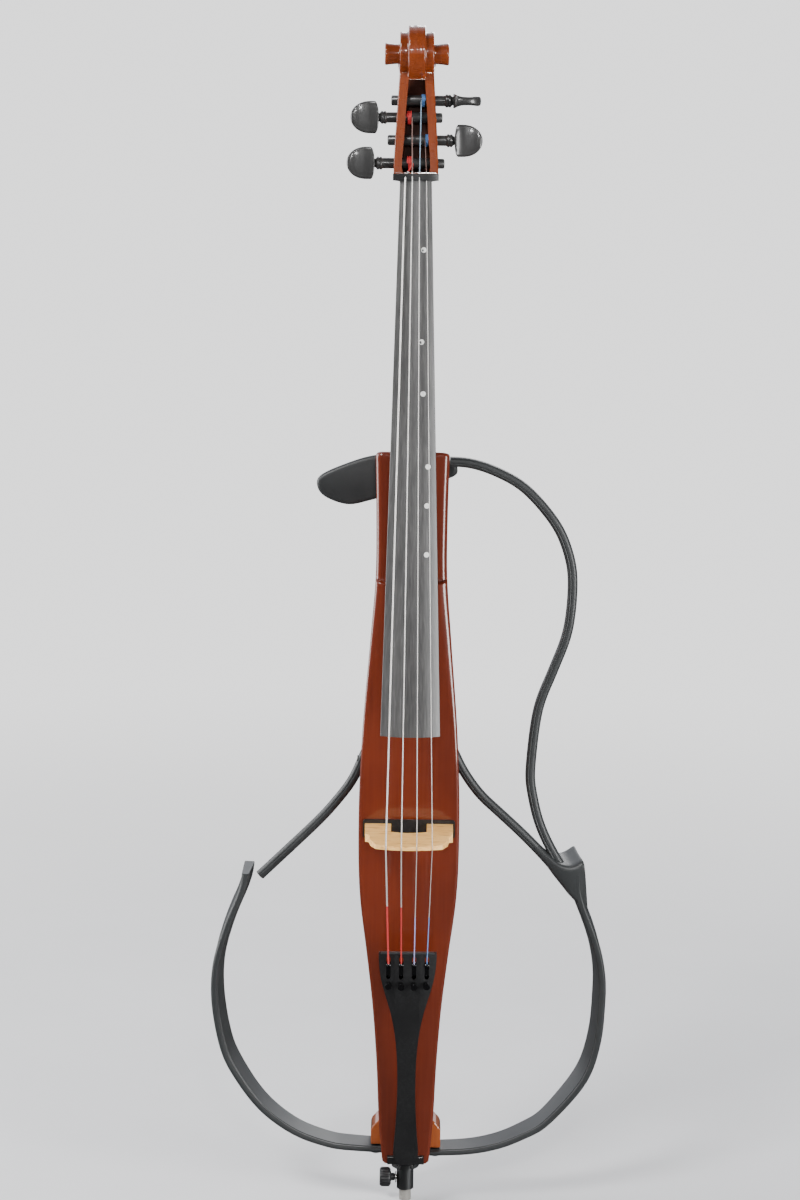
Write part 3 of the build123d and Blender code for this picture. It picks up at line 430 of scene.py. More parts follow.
def loft(rings):
    """Joins rings of equal length with quads and closes both ends."""
    n = len(rings[0])
    last = (len(rings) - 1) * n
    verts = [p for ring in rings for p in ring]
    faces = []
    for a in range(0, last, n):
        b = a + n
        for j in range(n):
            k = (j + 1) % n
            faces.append((a + j, a + k, b + k, b + j))
    faces.append(tuple(range(n))[::-1])
    faces.append(tuple(range(last, last + n)))
    return verts, faces


def circle(n):
    """Angles of n points round a circle."""
    return [2 * math.pi * k / n for k in range(n)]


def signed_power(value, power):
    """A power that keeps the sign, for superellipses."""
    return math.copysign(abs(value) ** power, value)


def heading(line, i):
    """Unit direction of a line at its point i."""
    step = line[min(i + 1, len(line) - 1)] - line[max(i - 1, 0)]
    return step / np.linalg.norm(step)


def lathe(profile, origin, axis, steps=48, flutes=0, depth=0.0):
    """Turns a (distance along the axis, radius) profile; its widest part can be cut with flutes."""
    axis = Vector(axis).normalized()
    u = axis.orthogonal().normalized()
    v = axis.cross(u)
    widest = max(r for _, r in profile)
    rings = []
    for t, r in profile:
        ring = []
        for a in circle(steps):
            cut = depth * (0.5 + 0.5 * math.cos(flutes * a)) * max(0.0, (r / widest - 0.86) / 0.14)
            ring.append(Vector(origin) + axis * t + (u * math.cos(a) + v * math.sin(a)) * max(r - cut, 0.01))
        rings.append(ring)
    return loft(rings)


def merge(*parts):
    """Puts several (verts, faces) lists into one."""
    verts, faces = [], []
    for v, f in parts:
        base = len(verts)
        verts += list(v)
        faces += [tuple(i + base for i in face) for face in f]
    return verts, faces


def rounded_box_ring(w, y0, y1, corner, r1, z, n=8):
    """Horizontal section of body or pegbox: elliptical front corners (across, deep), round back ones."""
    across, deep = corner
    ring = []
    corners = [(w - across, y0 + deep, across, deep, -90), (w - r1, y1 - r1, r1, r1, 0),
               (-w + r1, y1 - r1, r1, r1, 90), (-w + across, y0 + deep, across, deep, 180)]
    for cx, cy, rx, ry, start in corners:
        for k in range(n + 1):
            a = math.radians(start + 90 * k / n)
            ring.append((cx + rx * math.cos(a), cy + ry * math.sin(a), z))
    return ring


def curve_tube(name, points, radius, body, look, replaced=(), ring=12):
    """A string or winding: a tube along a line of points."""
    line = [Vector(p) for p in points]
    rings = []
    side = None
    for i, p in enumerate(line):
        a = line[max(i - 1, 0)]
        b = line[min(i + 1, len(line) - 1)]
        d = (b - a).normalized()
        if side is None:
            side = d.orthogonal().normalized()
        side = (side - d * side.dot(d)).normalized()
        up = d.cross(side)
        rings.append([p + (side * math.cos(t) + up * math.sin(t)) * radius for t in circle(ring)])
    piece(name, *loft(rings), body, "string_metal", look, replaced, angle=50)


# ---------------------------------------------------------------- floor, light and camera
BACKDROP = (1.75, 1.75, 1.76)
FLOOR_REFLECTED = (0.05, 0.05, 0.052)
FLOOR_FADE = (0.5, 3.2)    # metres from the object over which the floor turns into the backdrop
ROOM_LIGHT = (0.90, 0.93, 1.0)
BRIGHT_SIDE = (-0.62, 0.78, 0.0)   # direction of the pale wall, behind and to the left


def eased_range(tree, source, span, result=(0.0, 1.0)):
    """Maps a value smoothly from one (low, high) span to another."""
    inputs = {"From Min": span[0], "From Max": span[1], "To Min": result[0], "To Max": result[1],
              "Value": source}
    return add_node(tree, "ShaderNodeMapRange", inputs, interpolation_type="SMOOTHSTEP").outputs["Result"]


def shader_mix(tree, fac, first, second):
    """Mixes two shaders."""
    return add_node(tree, "ShaderNodeMixShader", {0: fac, 1: first, 2: second}).outputs[0]


def emission(tree, colour):
    """A glowing shader."""
    return add_node(tree, "ShaderNodeEmission", {"Color": (*colour, 1)}).outputs[0]


def make_floor():
    """A wide pale floor, just below the endpin's tip, that fades into the backdrop."""
    far = 40000
    verts = [(-far, -far, -0.6), (far, -far, -0.6), (far, far, -0.6), (-far, far, -0.6)]
    mesh = bpy.data.meshes.new("floor")
    mesh.from_pydata([tuple(c * MM for c in v) for v in verts], [], [(0, 1, 2, 3)])
    obj = bpy.data.objects.new("floor", mesh)
    bpy.context.collection.objects.link(obj)
    look = Look("floor")
    cloud = look.noise(1.6, 5, 0.6)
    look.colour(look.ramp(cloud, [(0.3, (0.74, 0.74, 0.75)), (0.7, (0.80, 0.80, 0.81))]))
    look.set(Roughness=0.9, Specular_IOR_Level=0.1)
    reach = look.node("ShaderNodeVectorMath", {0: look.coord}, operation="LENGTH")
    fade = eased_range(look.tree, reach.outputs["Value"], FLOOR_FADE)
    path = look.node("ShaderNodeLightPath")
    seen = look.node("ShaderNodeMath", {0: fade, 1: path.outputs["Is Camera Ray"]}, operation="MULTIPLY")
    blend = shader_mix(look.tree, seen.outputs[0], look.bsdf.outputs[0], emission(look.tree, BACKDROP))
    # in reflections the floor is dim, like the room in front of the object
    dim = emission(look.tree, FLOOR_REFLECTED)
    final = shader_mix(look.tree, path.outputs["Is Glossy Ray"], blend, dim)
    look.link(final, look.tree.nodes["Material Output"].inputs["Surface"])
    obj.data.materials.append(look.mat)


def area_light(name, place, aim, size, power):
    """A soft rectangular light."""
    data = bpy.data.lights.new(name, "AREA")
    data.shape = "RECTANGLE"
    data.size, data.size_y = size
    data.energy = power
    obj = bpy.data.objects.new(name, data)
    obj.location = place
    obj.rotation_euler = (Vector(aim) - Vector(place)).to_track_quat("-Z", "Y").to_euler()
    bpy.context.collection.objects.link(obj)


def make_camera():
    """Camera in front, below the pegs' height, looking 8.5 degrees down with a slight roll."""
    pitch, roll = math.radians(8.5), math.radians(-0.57)
    forward = Vector((0, math.cos(pitch), -math.sin(pitch)))
    right = Vector((1, 0, 0))
    up = right.cross(forward)
    right2 = right * math.cos(roll) - up * math.sin(roll)
    up2 = right * math.sin(roll) + up * math.cos(roll)
    turn = Matrix((right2, up2, -forward)).transposed().to_4x4()
    data = bpy.data.cameras.new("camera")
    data.lens = 79.38
    data.sensor_width = 36
    obj = bpy.data.objects.new("camera", data)
    obj.matrix_world = Matrix.Translation((-0.0119, -2.7795, 1.0799)) @ turn
    bpy.context.collection.objects.link(obj)
    bpy.context.scene.camera = obj


def make_world():
    """Pale surroundings; what lights the object is dimmer than what the camera sees."""
    world = bpy.data.worlds.new("studio")
    world.use_nodes = True
    tree = world.node_tree
    seen = tree.nodes["Background"]
    seen.inputs["Color"].default_value = (*BACKDROP, 1)
    seen.inputs["Strength"].default_value = 1.0
    coord = add_node(tree, "ShaderNodeTexCoord").outputs["Generated"]
    toward = add_node(tree, "ShaderNodeVectorMath", {0: coord, 1: BRIGHT_SIDE}, operation="DOT_PRODUCT")
    room = eased_range(tree, toward.outputs["Value"], (-0.1, 0.7), (0.10, 1.25))
    light = add_node(tree, "ShaderNodeBackground", {"Color": (*ROOM_LIGHT, 1), "Strength": room})
    path = add_node(tree, "ShaderNodeLightPath")
    mix = shader_mix(tree, path.outputs["Is Camera Ray"], light.outputs[0], seen.outputs[0])
    tree.links.new(mix, tree.nodes["World Output"].inputs["Surface"])
    bpy.context.scene.world = world


make_floor()
make_world()
make_camera()
area_light("key", (-1.5, -1.9, 2.9), (0, 0, 0.7), (0.9, 0.9), 76)
area_light("flash", (0.10, -2.9, 1.75), (0, 0, 0.85), (0.16, 0.16), 16)
area_light("fill", (2.4, -1.8, 0.7), (0, 0, 0.6), (0.9, 1.8), 115)
area_light("side", (-2.5, 0.3, 1.2), (0, 0, 0.75), (1.6, 2.2), 90)
area_light("back", (0.8, 2.4, 2.2), (0, 0, 0.7), (1.6, 1.6), 45)


# ---------------------------------------------------------------- body
def end_inset(depth, radius):
    """How far a rounded end draws in, at a depth into its rounding."""
    d = max(0.0, depth / radius)
    return radius * (1 - math.sqrt(max(0.0, 1 - d * d)))


def case_rings():
    """Rings of the body's case: rounded at both ends, lowered in front beside the fingerboard."""
    count, top_round, foot_round = 90, 5.0, 2.0
    zs = [BODY_BOTTOM + (BODY_TOP - BODY_BOTTOM) * k / count for k in range(count + 1)]
    for f in (0.12, 0.35, 0.7, 1.0):
        zs += [BODY_BOTTOM + foot_round * f, BODY_TOP - top_round * f]
    rings = []
    for z in sorted(set(zs)):
        inset = end_inset(z - BODY_TOP + top_round, top_round)
        inset += end_inset(BODY_BOTTOM + foot_round - z, foot_round)
        behind_plate = z < PLATE_TOP - 6
        front = PLATE_BACK + 0.05 if behind_plate else RECESS_Y
        corner = (0.8, 0.8) if behind_plate else (7.5, 6.5)
        ring = rounded_box_ring(body_half(z) - inset, front + inset * 0.6, BODY_BACK - inset * 0.6,
                                corner, 7.0, z)
        rings.append([(x, y, up - shoulder_fall(y, up)) for x, y, up in ring])
    return rings


def shoulder_fall(y, z):
    """How far the shoulders' top falls away towards the back."""
    near_top = max(0.0, (z - (BODY_TOP - 14)) / 14)
    return 5.2 * near_top * max(0.0, min(1.0, (y - RECESS_Y - 5) / 40))


def make_body():
    """Body: case with the lowered shoulders, and the front plate with its curved upper lip."""
    case = piece("body_case", *loft(case_rings()), ROOT, "varnished_wood",
                 replaced=("body_shell", "tail_block"))
    # battery bay, and the opening behind the control panel
    box_cut(case, (-23, 12, 230), (23, 40, 302))
    box_cut(case, (-19, 4, 556), (19, 40, 664))
    lip, lip_depth = 3.2, 7.6
    zs = [BODY_BOTTOM + (PLATE_TOP - BODY_BOTTOM) * k / 110 for k in range(111)]
    plate = [(z, BODY_FRONT) for z in zs if z < PLATE_TOP - lip]
    for f in np.linspace(0, 1, 12):
        plate.append((PLATE_TOP - lip + lip * f, BODY_FRONT + lip_depth * (1 - math.sqrt(1 - f * f))))
    rings = []
    for z, y in plate:
        inset = 2.0 * max(0.0, 1 - (z - BODY_BOTTOM) / 2.0)
        w = body_half(z) - inset + 0.06
        across = value_at([(50, 3.6), (430, 4.2), (540, 6.0), (600, 11.0), (690, 14.0)], z)
        deep = value_at([(50, 3.0), (430, 3.2), (560, 4.0), (690, 6.4)], z)
        deep = min(deep, (PLATE_BACK + 2.6 - y) * 0.97)
        ring = rounded_box_ring(w, y + inset, PLATE_BACK + 2.8, (across, max(deep, 0.3)), 0.2, z)
        # the upper end is curved: lowest on the centre line
        droop = 5.0 * min(1.0, max(0.0, (z - 600) / 90))
        rings.append([(x, yy, zz - droop * (1 - min(1.0, abs(x) / 38.0) ** 2)) for x, yy, zz in ring])
    piece("body_front", *loft(rings), ROOT, "varnished_wood", replaced=("top_plate",))
    for side, tag in ((-1, "left"), (1, "right")):
        piece("ear_" + tag, *ear_shape(side), ROOT, "varnished_wood", "ear_wood", bevel=1.2)


def ear_shape(side):
    """One ear of the tail block: a lug with a sloping top that the frame bolts into."""
    low = 66.0 if side < 0 else 62.6
    outline = [(24, low), (38, low), (38, 82), (36.5, 86), (30, 93), (24, 95)]
    front = [(side * x, -13, z) for x, z in outline]
    back = [(side * x, 22, z) for x, z in outline]
    n = len(outline)
    faces = [tuple(range(n)), tuple(range(n, 2 * n))[::-1]]
    faces += [(i, i + n, (i + 1) % n + n, (i + 1) % n) for i in range(n)]
    if side < 0:
        faces = [f[::-1] for f in faces]
    return front + back, faces


def box_cut(obj, low, high):
    """Cuts a box out of an object and applies the cut."""
    bpy.ops.mesh.primitive_cube_add(size=1)
    cutter = bpy.context.object
    for v in cutter.data.vertices:
        for k in range(3):
            v.co[k] = (low[k] if v.co[k] < 0 else high[k]) * MM
    cut_with(obj, cutter)


def cut_with(obj, cutter):
    """Cuts another object's shape out of an object, and removes the cutter."""
    mod = obj.modifiers.new("cut", "BOOLEAN")
    mod.operation = "DIFFERENCE"
    mod.solver = "EXACT"
    mod.object = cutter
    apply_modifiers(obj)
    bpy.data.objects.remove(cutter)


def apply_modifiers(obj):
    """Bakes an object's modifiers into its mesh."""
    graph = bpy.context.evaluated_depsgraph_get()
    mesh = bpy.data.meshes.new_from_object(obj.evaluated_get(graph))
    obj.modifiers.clear()
    obj.data = mesh


make_body()


# ---------------------------------------------------------------- neck and fingerboard
def glue(z):
    """Depth of the joint between neck and fingerboard."""
    return -45 - 40 * board_run(z)


def board_run(z):
    """How far down the fingerboard a height is: 0 at the nut, 1 at its free end."""
    return (NUT_Z - z) / (NUT_Z - BOARD_END)


def d_ring(z, half, back, power, n=28):
    """Section of the neck: flat at the glue line, rounded behind."""
    y0 = glue(z)
    ring = []
    for k in range(n + 1):
        a = math.pi * k / n
        c, s = math.cos(a), math.sin(a)
        ring.append((half * signed_power(c, 2 / power), y0 + (back - y0) * s ** (2 / power), z))
    return ring


def make_neck():
    """Neck with its heel; each row of the table is (height, half width, back, squareness)."""
    table = [(824, 21.9, 24, 3.2), (832, 21.9, 12, 3.0), (840, 21.9, -3, 2.8), (848, 21.7, -15.5, 2.5),
             (858, 21.5, -25, 2.3), (868, 21.2, -30.5, 2.15), (880, 20.9, -33.5, 2.1),
             (905, 20.3, -33.6, 2.05), (1000, 18.1, -28.8, 2.05), (1094, 16.2, -24.4, 2.05),
             (1104, 16.0, -24.0, 2.1)]
    rings = [d_ring(z, 21.8, -21.0, 9) for z in np.linspace(690.5, 812, 13)]
    rings += [d_ring(z, 21.9, 24.0, 3.2) for z in (812.5, 818, 823)]
    for z in np.concatenate([np.linspace(824, 880, 22), np.linspace(885, 1104, 30)]):
        half, back, power = (value_at([(row[0], row[k]) for row in table], z) for k in (1, 2, 3))
        rings.append(d_ring(z, half, back, power))
    piece("neck_carved", *loft(rings), ROOT, "varnished_wood", replaced=("neck",), angle=50)


def board_ring(z):
    """Section of the fingerboard, with the flat facet beside the lowest string."""
    t = board_run(z)
    half = 16.3 + 14.7 * t
    edge, crown, under = -52.6 - 40.2 * t, -55 - 45 * t, glue(z)
    hollow = 5.0 * min(1.0, max(0.0, (688 - z) / 18))
    facet_at = 0.42
    facet = -facet_at * half
    ring = []
    for k in range(41):
        x = -half + 2 * half * k / 40
        y = crown + (edge - crown) * (x / half) ** 2
        if x < facet:
            y_join = crown + (edge - crown) * facet_at ** 2
            f = (facet - x) / (facet + half)
            y = y_join + (edge + 0.9 - y_join) * f
        ring.append((x, y, z))
    for k in range(15):
        x = half - 2 * half * k / 14
        x = math.copysign(min(abs(x), half - 0.15), x)
        ring.append((x, under - hollow * max(0.0, 1 - (x / (half - 4)) ** 2), z))
    return ring


def make_board():
    """Fingerboard, hollowed under its free end."""
    zs = [BOARD_END, BOARD_END + 0.4] + list(np.linspace(BOARD_END + 3, NUT_Z, 60))
    board = loft([board_ring(z) for z in zs])
    piece("fingerboard_carved", *board, ROOT, "ebony", replaced=("fingerboard",), bevel=0.5, angle=28)


make_neck()
make_board()


# ---------------------------------------------------------------- pegbox and scroll
def pegbox_front(z):
    """Depth of the pegbox's open face."""
    return -52 + (z - 1111) * 0.19


def peg_y(z):
    """Depth of a peg's axis."""
    return pegbox_front(z) + 11.5


def pegbox_ring(z):
    """Rounded section of the pegbox at height z."""
    half = 16.0
    if z > 1104:
        half = value_at([(1104, 22.9), (1112, 22.9), (1145, 21.6), (1180, 19.6), (1214, 17.6)], z)
    front = pegbox_front(z) if z > 1111 else -52.0
    back = value_at([(1090, -17.5), (1098, -15.6), (1104, -15.4), (1120, -16.4), (1150, -18.4), (1180, -14.2),
                     (1206, -8.6), (1216, -5.0)], z)
    if z < 1104:
        front = -24.0 - (1104 - z) * 0.1
    r_back = min(7.0, (back - front) * 0.45)
    return rounded_box_ring(half, front, back, (1.1, 1.1), r_back, z, 6)


# scroll: (angle from the back, over the top and down the front; radius; half width)
SPIRAL = [(0, 29.8, 8.8), (45, 29.5, 8.8), (90, 29.2, 8.8), (135, 28.8, 8.8), (180, 28.0, 8.8),
          (225, 27.2, 8.8), (262, 25.8, 8.8), (290, 24.4, 9.8), (320, 23.4, 12.8), (350, 23.0, 15.6),
          (380, 22.9, 17.2), (405, 22.8, 17.6), (450, 22.7, 17.6), (540, 22.0, 17.6), (590, 20.6, 17.7),
          (630, 18.6, 18.2), (660, 16.4, 19.2), (690, 14.2, 20.6), (720, 12.6, 22.4), (765, 11.0, 25.2),
          (810, 9.8, 28.0)]


def spiral_slice(turn):
    """Radial slice of the scroll: angle from the back, over the top and down the front."""
    r = value_at([(a, rr) for a, rr, _ in SPIRAL], turn)
    w = value_at([(a, ww) for a, _, ww in SPIRAL], turn)
    a = math.radians(turn)
    cy, cz = math.cos(a), math.sin(a)
    ring = []
    edge = 1.0
    flute = value_at([(-60, 0.9), (40, 0.6), (120, 0.35), (360, 0.3), (410, 0.5), (600, 0.4), (810, 0.2)],
                     turn)
    across = 24
    for k in range(across + 1):
        x = -w + 2 * w * k / across
        u = abs(x) / w
        rr = r - flute * math.sin(math.pi * min(1.0, u)) ** 0.8
        if u > 1 - edge / w:
            rr = r - edge * 0.5
        ring.append((x, EYE_Y + rr * cy, EYE_Z + rr * cz))
    inner = 0.6
    for x in (w, -w):
        for f in ((0.72, 0.4, inner / r) if x > 0 else (inner / r, 0.4, 0.72)):
            wall = x * (1 - 0.06 * math.sin(math.pi * f))
            ring.append((wall, EYE_Y + r * f * cy, EYE_Z + r * f * cz))
    return ring


def make_scroll():
    """Pegbox with its cavity, and the scroll wound round the two eyes."""
    slices = [spiral_slice(t) for t in range(-52, 811, 9)]
    wound_part = loft(slices)
    zs = [1090.2, 1091, 1093, 1096, 1100, 1103.4, 1104.2] + list(range(1108, 1217, 4))
    box = loft([pegbox_ring(z) for z in zs])
    obj = piece("scroll_carved", *merge(box, wound_part), ROOT, "scroll_wood", replaced=("pegbox_scroll",))
    parts = []
    for side in (-1, 1):
        profile = [(0.0, 9.9), (18.0, 9.9), (23.0, 10.2), (28.0, 10.7), (31.4, 11.2), (32.4, 11.0),
                   (33.0, 10.0), (32.7, 8.6), (32.4, 0.0)]
        parts.append(lathe(profile, (0, EYE_Y, EYE_Z), (side, 0, 0), 40))
    eyes = piece("eyes", *merge(*parts), ROOT, "scroll_wood")
    join(obj, eyes)
    remesh(obj, 0.55)
    cavity = []
    for z in (1112.2, 1113, 1118, 1130, 1145, 1160, 1180, 1196, 1203, 1206):
        half = value_at([(1112, 13.6), (1114, 14.0), (1145, 12.4), (1180, 10.4), (1200, 8.8), (1206, 8.4)], z)
        deep = value_at([(1112, -27), (1116, -25.4), (1140, -25.6), (1170, -20.8), (1196, -20.0),
                         (1206, -27)], z)
        cavity.append([(-half, -75, z), (half, -75, z), (half, deep - 2, z), (half - 2, deep, z),
                       (-half + 2, deep, z), (-half, deep - 2, z)])
    cutter = piece("cavity", *loft(cavity), ROOT, "scroll_wood")
    # the cavity's walls take the darker copy of the varnish: painted shade
    for item in (obj, cutter):
        item.data.materials.append(LOOKS["cavity_painted_shade"])
    for face in cutter.data.polygons:
        face.material_index = 1
    cut_with(obj, cutter)
    shade(obj, 42)


def join(obj, other):
    """Moves another object's mesh into this one."""
    select(other, obj)
    bpy.ops.object.join()


def remesh(obj, size):
    """Unites overlapping shells into one smooth skin."""
    mod = obj.modifiers.new("skin", "REMESH")
    mod.mode = "VOXEL"
    mod.voxel_size = size * MM
    mod.adaptivity = 0.0
    relax = obj.modifiers.new("relax", "CORRECTIVE_SMOOTH")
    relax.factor = 0.5
    relax.iterations = 6
    relax.smooth_type = "SIMPLE"
    relax.use_only_smooth = True
    apply_modifiers(obj)


# ---------------------------------------------------------------- pegs
def peg_head(name):
    """Thumb piece: broad rounded leaf, thick at its neck and tip, waisted between."""
    _, _, _, _, side, z, _ = STRINGS[name]
    start, tip, _, edge_on = PEG_HEADS[name]
    length = abs(tip - start)
    y = peg_y(z)
    rings = []
    count = 34
    for k in range(count + 1):
        d = 0.5 - 0.5 * math.cos(math.pi * k / count)
        x = start + side * d * length
        # half height of the leaf: squarish shoulder then a round end
        if d > 0.16:
            fill = 1 - max(0.0, (d - 0.26) / 0.74) ** 2.3
        else:
            fill = 1 - (1 - d / 0.16) ** 2.6
        leaf = max(16.4 * math.sqrt(max(0.0, fill)), 3.2 if d < 0.5 else 0.05)
        thick = value_at([(0, 7.0), (0.05, 7.2), (0.14, 5.9), (0.28, 4.6), (0.5, 4.1), (0.7, 4.3),
                          (0.84, 4.8), (0.93, 4.6), (0.98, 3.2), (1.0, 0.6)], d)
        ring = []
        for a in circle(36):
            c, s = math.cos(a), math.sin(a)
            u = leaf * signed_power(c, 0.8)
            rim = 1 + 0.12 * math.exp(-((abs(c) - 0.90) / 0.08) ** 2)
            v = thick * rim * signed_power(s, 0.30)
            ring.append((x, y + u, z + v) if edge_on else (x, y + v, z + u))
        rings.append(ring)
    return loft(rings)


def make_pegs():
    """Turned pegs, each with a few turns of its string on the shaft."""
    for name, (_, _, _, r, side, z, x_wind) in STRINGS.items():
        start, _, far, _ = PEG_HEADS[name]
        y = peg_y(z)
        origin = (far, y, z)
        run = abs(start - far)
        axis = (side, 0, 0)
        profile = [(0.0, 3.6), (0.5, 4.7), (1.2, 5.2), (run - 8.2, 5.45), (run - 7.6, 6.2), (run - 7.0, 6.7),
                   (run - 5.6, 6.7), (run - 5.1, 6.0), (run - 4.6, 6.1), (run - 4.2, 6.6), (run - 2.6, 6.6),
                   (run - 2.0, 5.6), (run - 0.6, 4.4), (run + 1.5, 4.2), (run + 4.0, 3.6)]
        verts, faces = merge(lathe(profile, origin, axis, 40), peg_head(name))
        piece("peg_turned_" + name, verts, faces, "peg_" + name, "ebony", "peg_black",
              replaced=("peg_" + name,), angle=40)
        # turns of string wound on the shaft
        turns = 4 if r < 0.7 else 3
        pitch = 2 * r + 0.12
        look = "silk_red" if name in "cg" else "silk_blue"
        points = []
        steps = turns * 26
        for k in range(steps + 1):
            t = k / steps
            ang = 2 * math.pi * turns * t
            x = x_wind + (pitch * turns) * t * (-1 if x_wind < 0 else 1) * 0.98
            rad = PEG_R + r + 0.28
            points.append((x, y - rad * math.cos(ang), z - rad * math.sin(ang)))
        curve_tube("winding_" + name, points, r, "peg_" + name, look, ring=8)


# ---------------------------------------------------------------- outline frame
def band_thick(f):
    """Thickness of the band along a bout: thick by the horn, thin under the tail block."""
    return value_at([(0, 11.0), (0.5, 10.2), (0.85, 7.6), (1.0, 6.6)], f)


def band_back(z):
    """Depth of the band's back edge, less towards the bottom."""
    return value_at([(30, 14), (70, 17.6), (120, 26), (165, 33), (205, 36.8), (420, 37)], z)


def band_section(thick, bead, front, back):
    """Section of a bout: rounded bead in front, a fine groove, and a web that leans inwards."""
    return [(0.9, back), (0.0, back - 1.2), (0.0, front + 4.0), (0.35, front + 2.0), (1.2, front + 0.7),
            (2.4, front), (bead - 2.2, front), (bead - 0.9, front + 0.5), (bead - 0.15, front + 1.5),
            (bead, front + 2.8), (bead - 0.5, front + 3.9), (bead - 0.45, front + 4.8),
            (bead + 0.35, front + 5.4),
            (bead + (thick - bead) * 0.5, (front + back) / 2), (thick, back - 1.4), (thick - 0.8, back)]


def make_bouts():
    """Lower bouts with their horns; the first few rings of each band lie inside its horn."""
    for side, outline, tag in ((-1, LEFT_BOUT, "left"), (1, RIGHT_BOUT, "right")):
        line = smooth_line(outline, 170, 14)
        arm = smooth_line(LEFT_ARM if side < 0 else RIGHT_ARM, 60, 8)
        rings = []
        for i, (x, z) in enumerate(line):
            if i < 6:
                continue
            d = heading(line, i)
            inward = np.array([-d[1], d[0]]) if side < 0 else np.array([d[1], -d[0]])
            f = i / (len(line) - 1)
            thick = band_thick(f)
            bead = value_at([(0, 7.6), (0.4, 7.0), (1.0, 5.6)], f)
            back = band_back(z)
            rings.append([(x + inward[0] * p, y, z + inward[1] * p)
                          for p, y in band_section(thick, bead, BAND_FRONT, back)])
        body = "left_frame" if side < 0 else ROOT
        bout = piece("bout_" + tag, *merge(loft(rings), horn_mesh(side, line[0], arm)), body, "frame_black",
                     replaced=("lower_bout_" + tag,), angle=30)
        if side < 0:
            # fork that slides round the bolt
            box_cut(bout, (-35.3, -2.8, 50), (-20, 2.8, 66))


# inner edge of each horn, from the band up to the diagonal rod: (inwards, up) from the tip
HORN_INNER = {
    -1: [(-8.5, -68), (-0.6, -57), (7.6, -45), (14.0, -36), (20.4, -27.2), (28, -19), (38, -9.6), (47, -1.6)],
    1: [(-5.5, -67), (1.6, -56.5), (8.0, -48), (16.4, -39.4), (25, -29), (33.4, -19), (40.5, -9.5),
        (47.5, -1.6)],
}


def horn_mesh(side, tip, arm):
    """Horn on a bout: a deep hooked corner that narrows to the round diagonal rod."""
    x, z = tip
    reach = 52.5
    away = np.abs(np.abs(arm[:, 0]) - (abs(x) - reach))
    i = int(np.argmin(away))
    along = arm[i - 1] - arm[i + 1]
    along = np.array([-side * along[0], along[1]]) / np.linalg.norm(along)
    middle = np.array([reach, arm[i, 1] - z])
    across = np.array([-along[1], along[0]]) * ROD_HALF
    top = smooth_line([(-0.2, -3.5), (0.0, -0.5), (1.6, 0.6), (5, -1.6), (10, -4.6), (17, -5.6), (25, -4.2),
                       (32, 0.2), (40, 6.4), tuple(middle + across)], 40, 2)
    inner = smooth_line(HORN_INNER[side] + [tuple(middle - across)], 40, 3)
    rings = []
    for k in range(-2, 40):
        f = max(0, k) / 39
        shrink = {-2: 2.2, -1: 0.6}.get(k, 0.0)
        (a0, b0), (a1, b1) = top[max(0, k)], inner[max(0, k)]
        narrow = min(1.0, max(0.0, (f - 0.18) / 0.82))
        narrow = narrow * narrow * (3 - 2 * narrow)
        front = BAND_FRONT + (-ROD_HALF - BAND_FRONT) * narrow + shrink
        sink = 2.2 * max(0.0, 1 - f / 0.22)
        back = BAND_BACK - (BAND_BACK - ROD_HALF) * narrow - shrink
        power = 2 / value_at([(0, 8.0), (0.4, 5.0), (0.8, 2.6), (1, 2.0)], f)
        ring = []
        for t in circle(56):
            u = 0.5 + 0.5 * signed_power(math.cos(t), power)
            v = 0.5 + 0.5 * signed_power(math.sin(t), power)
            lean = (1 - narrow) * v * (1 - u)
            sag = math.sin(math.pi * v) * 2.4 * (1 - narrow) * (1 - u)
            a = a0 + (a1 - a0) * u + 8.0 * lean + shrink * 0.4 * (1 - u)
            b = b0 + (b1 - b0) * u + 6.0 * lean - sag - shrink * (1 - u)
            y = front + (back - front) * v + sink * (1 - v) * u * u * (1 - 0.6 * v)
            ring.append((x - side * a, y, z + b))
        rings.append(ring)
    return loft(rings)


def seam_loft(line, section):
    """A rod along a line in the XZ plane; section gives (across, depth) pairs."""
    rings = []
    for i, (x, z) in enumerate(line):
        d = heading(line, i)
        n = np.array([d[1], -d[0]])
        rings.append([(x + n[0] * p, y, z + n[1] * p) for p, y in section])
    return loft(rings)


def rod_section(half, deep, power, seam):
    """Superellipse section; seam is where a fine groove runs along the front, across from the middle."""
    points = []
    for a in circle(72):
        p = half * signed_power(math.cos(a), 2 / power)
        y = deep * signed_power(math.sin(a), 2 / power)
        if y < 0:
            y += 0.7 * math.exp(-((p - seam) / 0.45) ** 2)
        points.append((p, y))
    return points


def make_rods():
    """Upper bout rod, and the two diagonal rods with their locating pins."""
    rod_line = smooth_line(UPPER_ROD, 420, 80)
    tube = seam_loft(rod_line, rod_section(ROD_HALF, 7.0, 2.6, 1.6))
    piece("upper_rod_smooth", *tube, ROOT, "frame_black", replaced=("upper_bout_rod",), angle=40)
    for side, line, tag in ((-1, LEFT_ARM, "left"), (1, RIGHT_ARM, "right")):
        body = "left_frame" if side < 0 else ROOT
        arm = smooth_line(line, 120, 30)
        tube = seam_loft(arm, rod_section(ROD_HALF, ROD_HALF, 2.0, 1.2))
        pin = lathe([(0.0, 3.2), (0.8, 4.0), (22.0, 4.0)], (side * 34, 0, ARM_PIN_Z), (side, 0, 0), 32)
        piece("arm_smooth_" + tag, *merge(tube, pin), body, "frame_black",
              replaced=("frame_arm_" + tag,), angle=40)


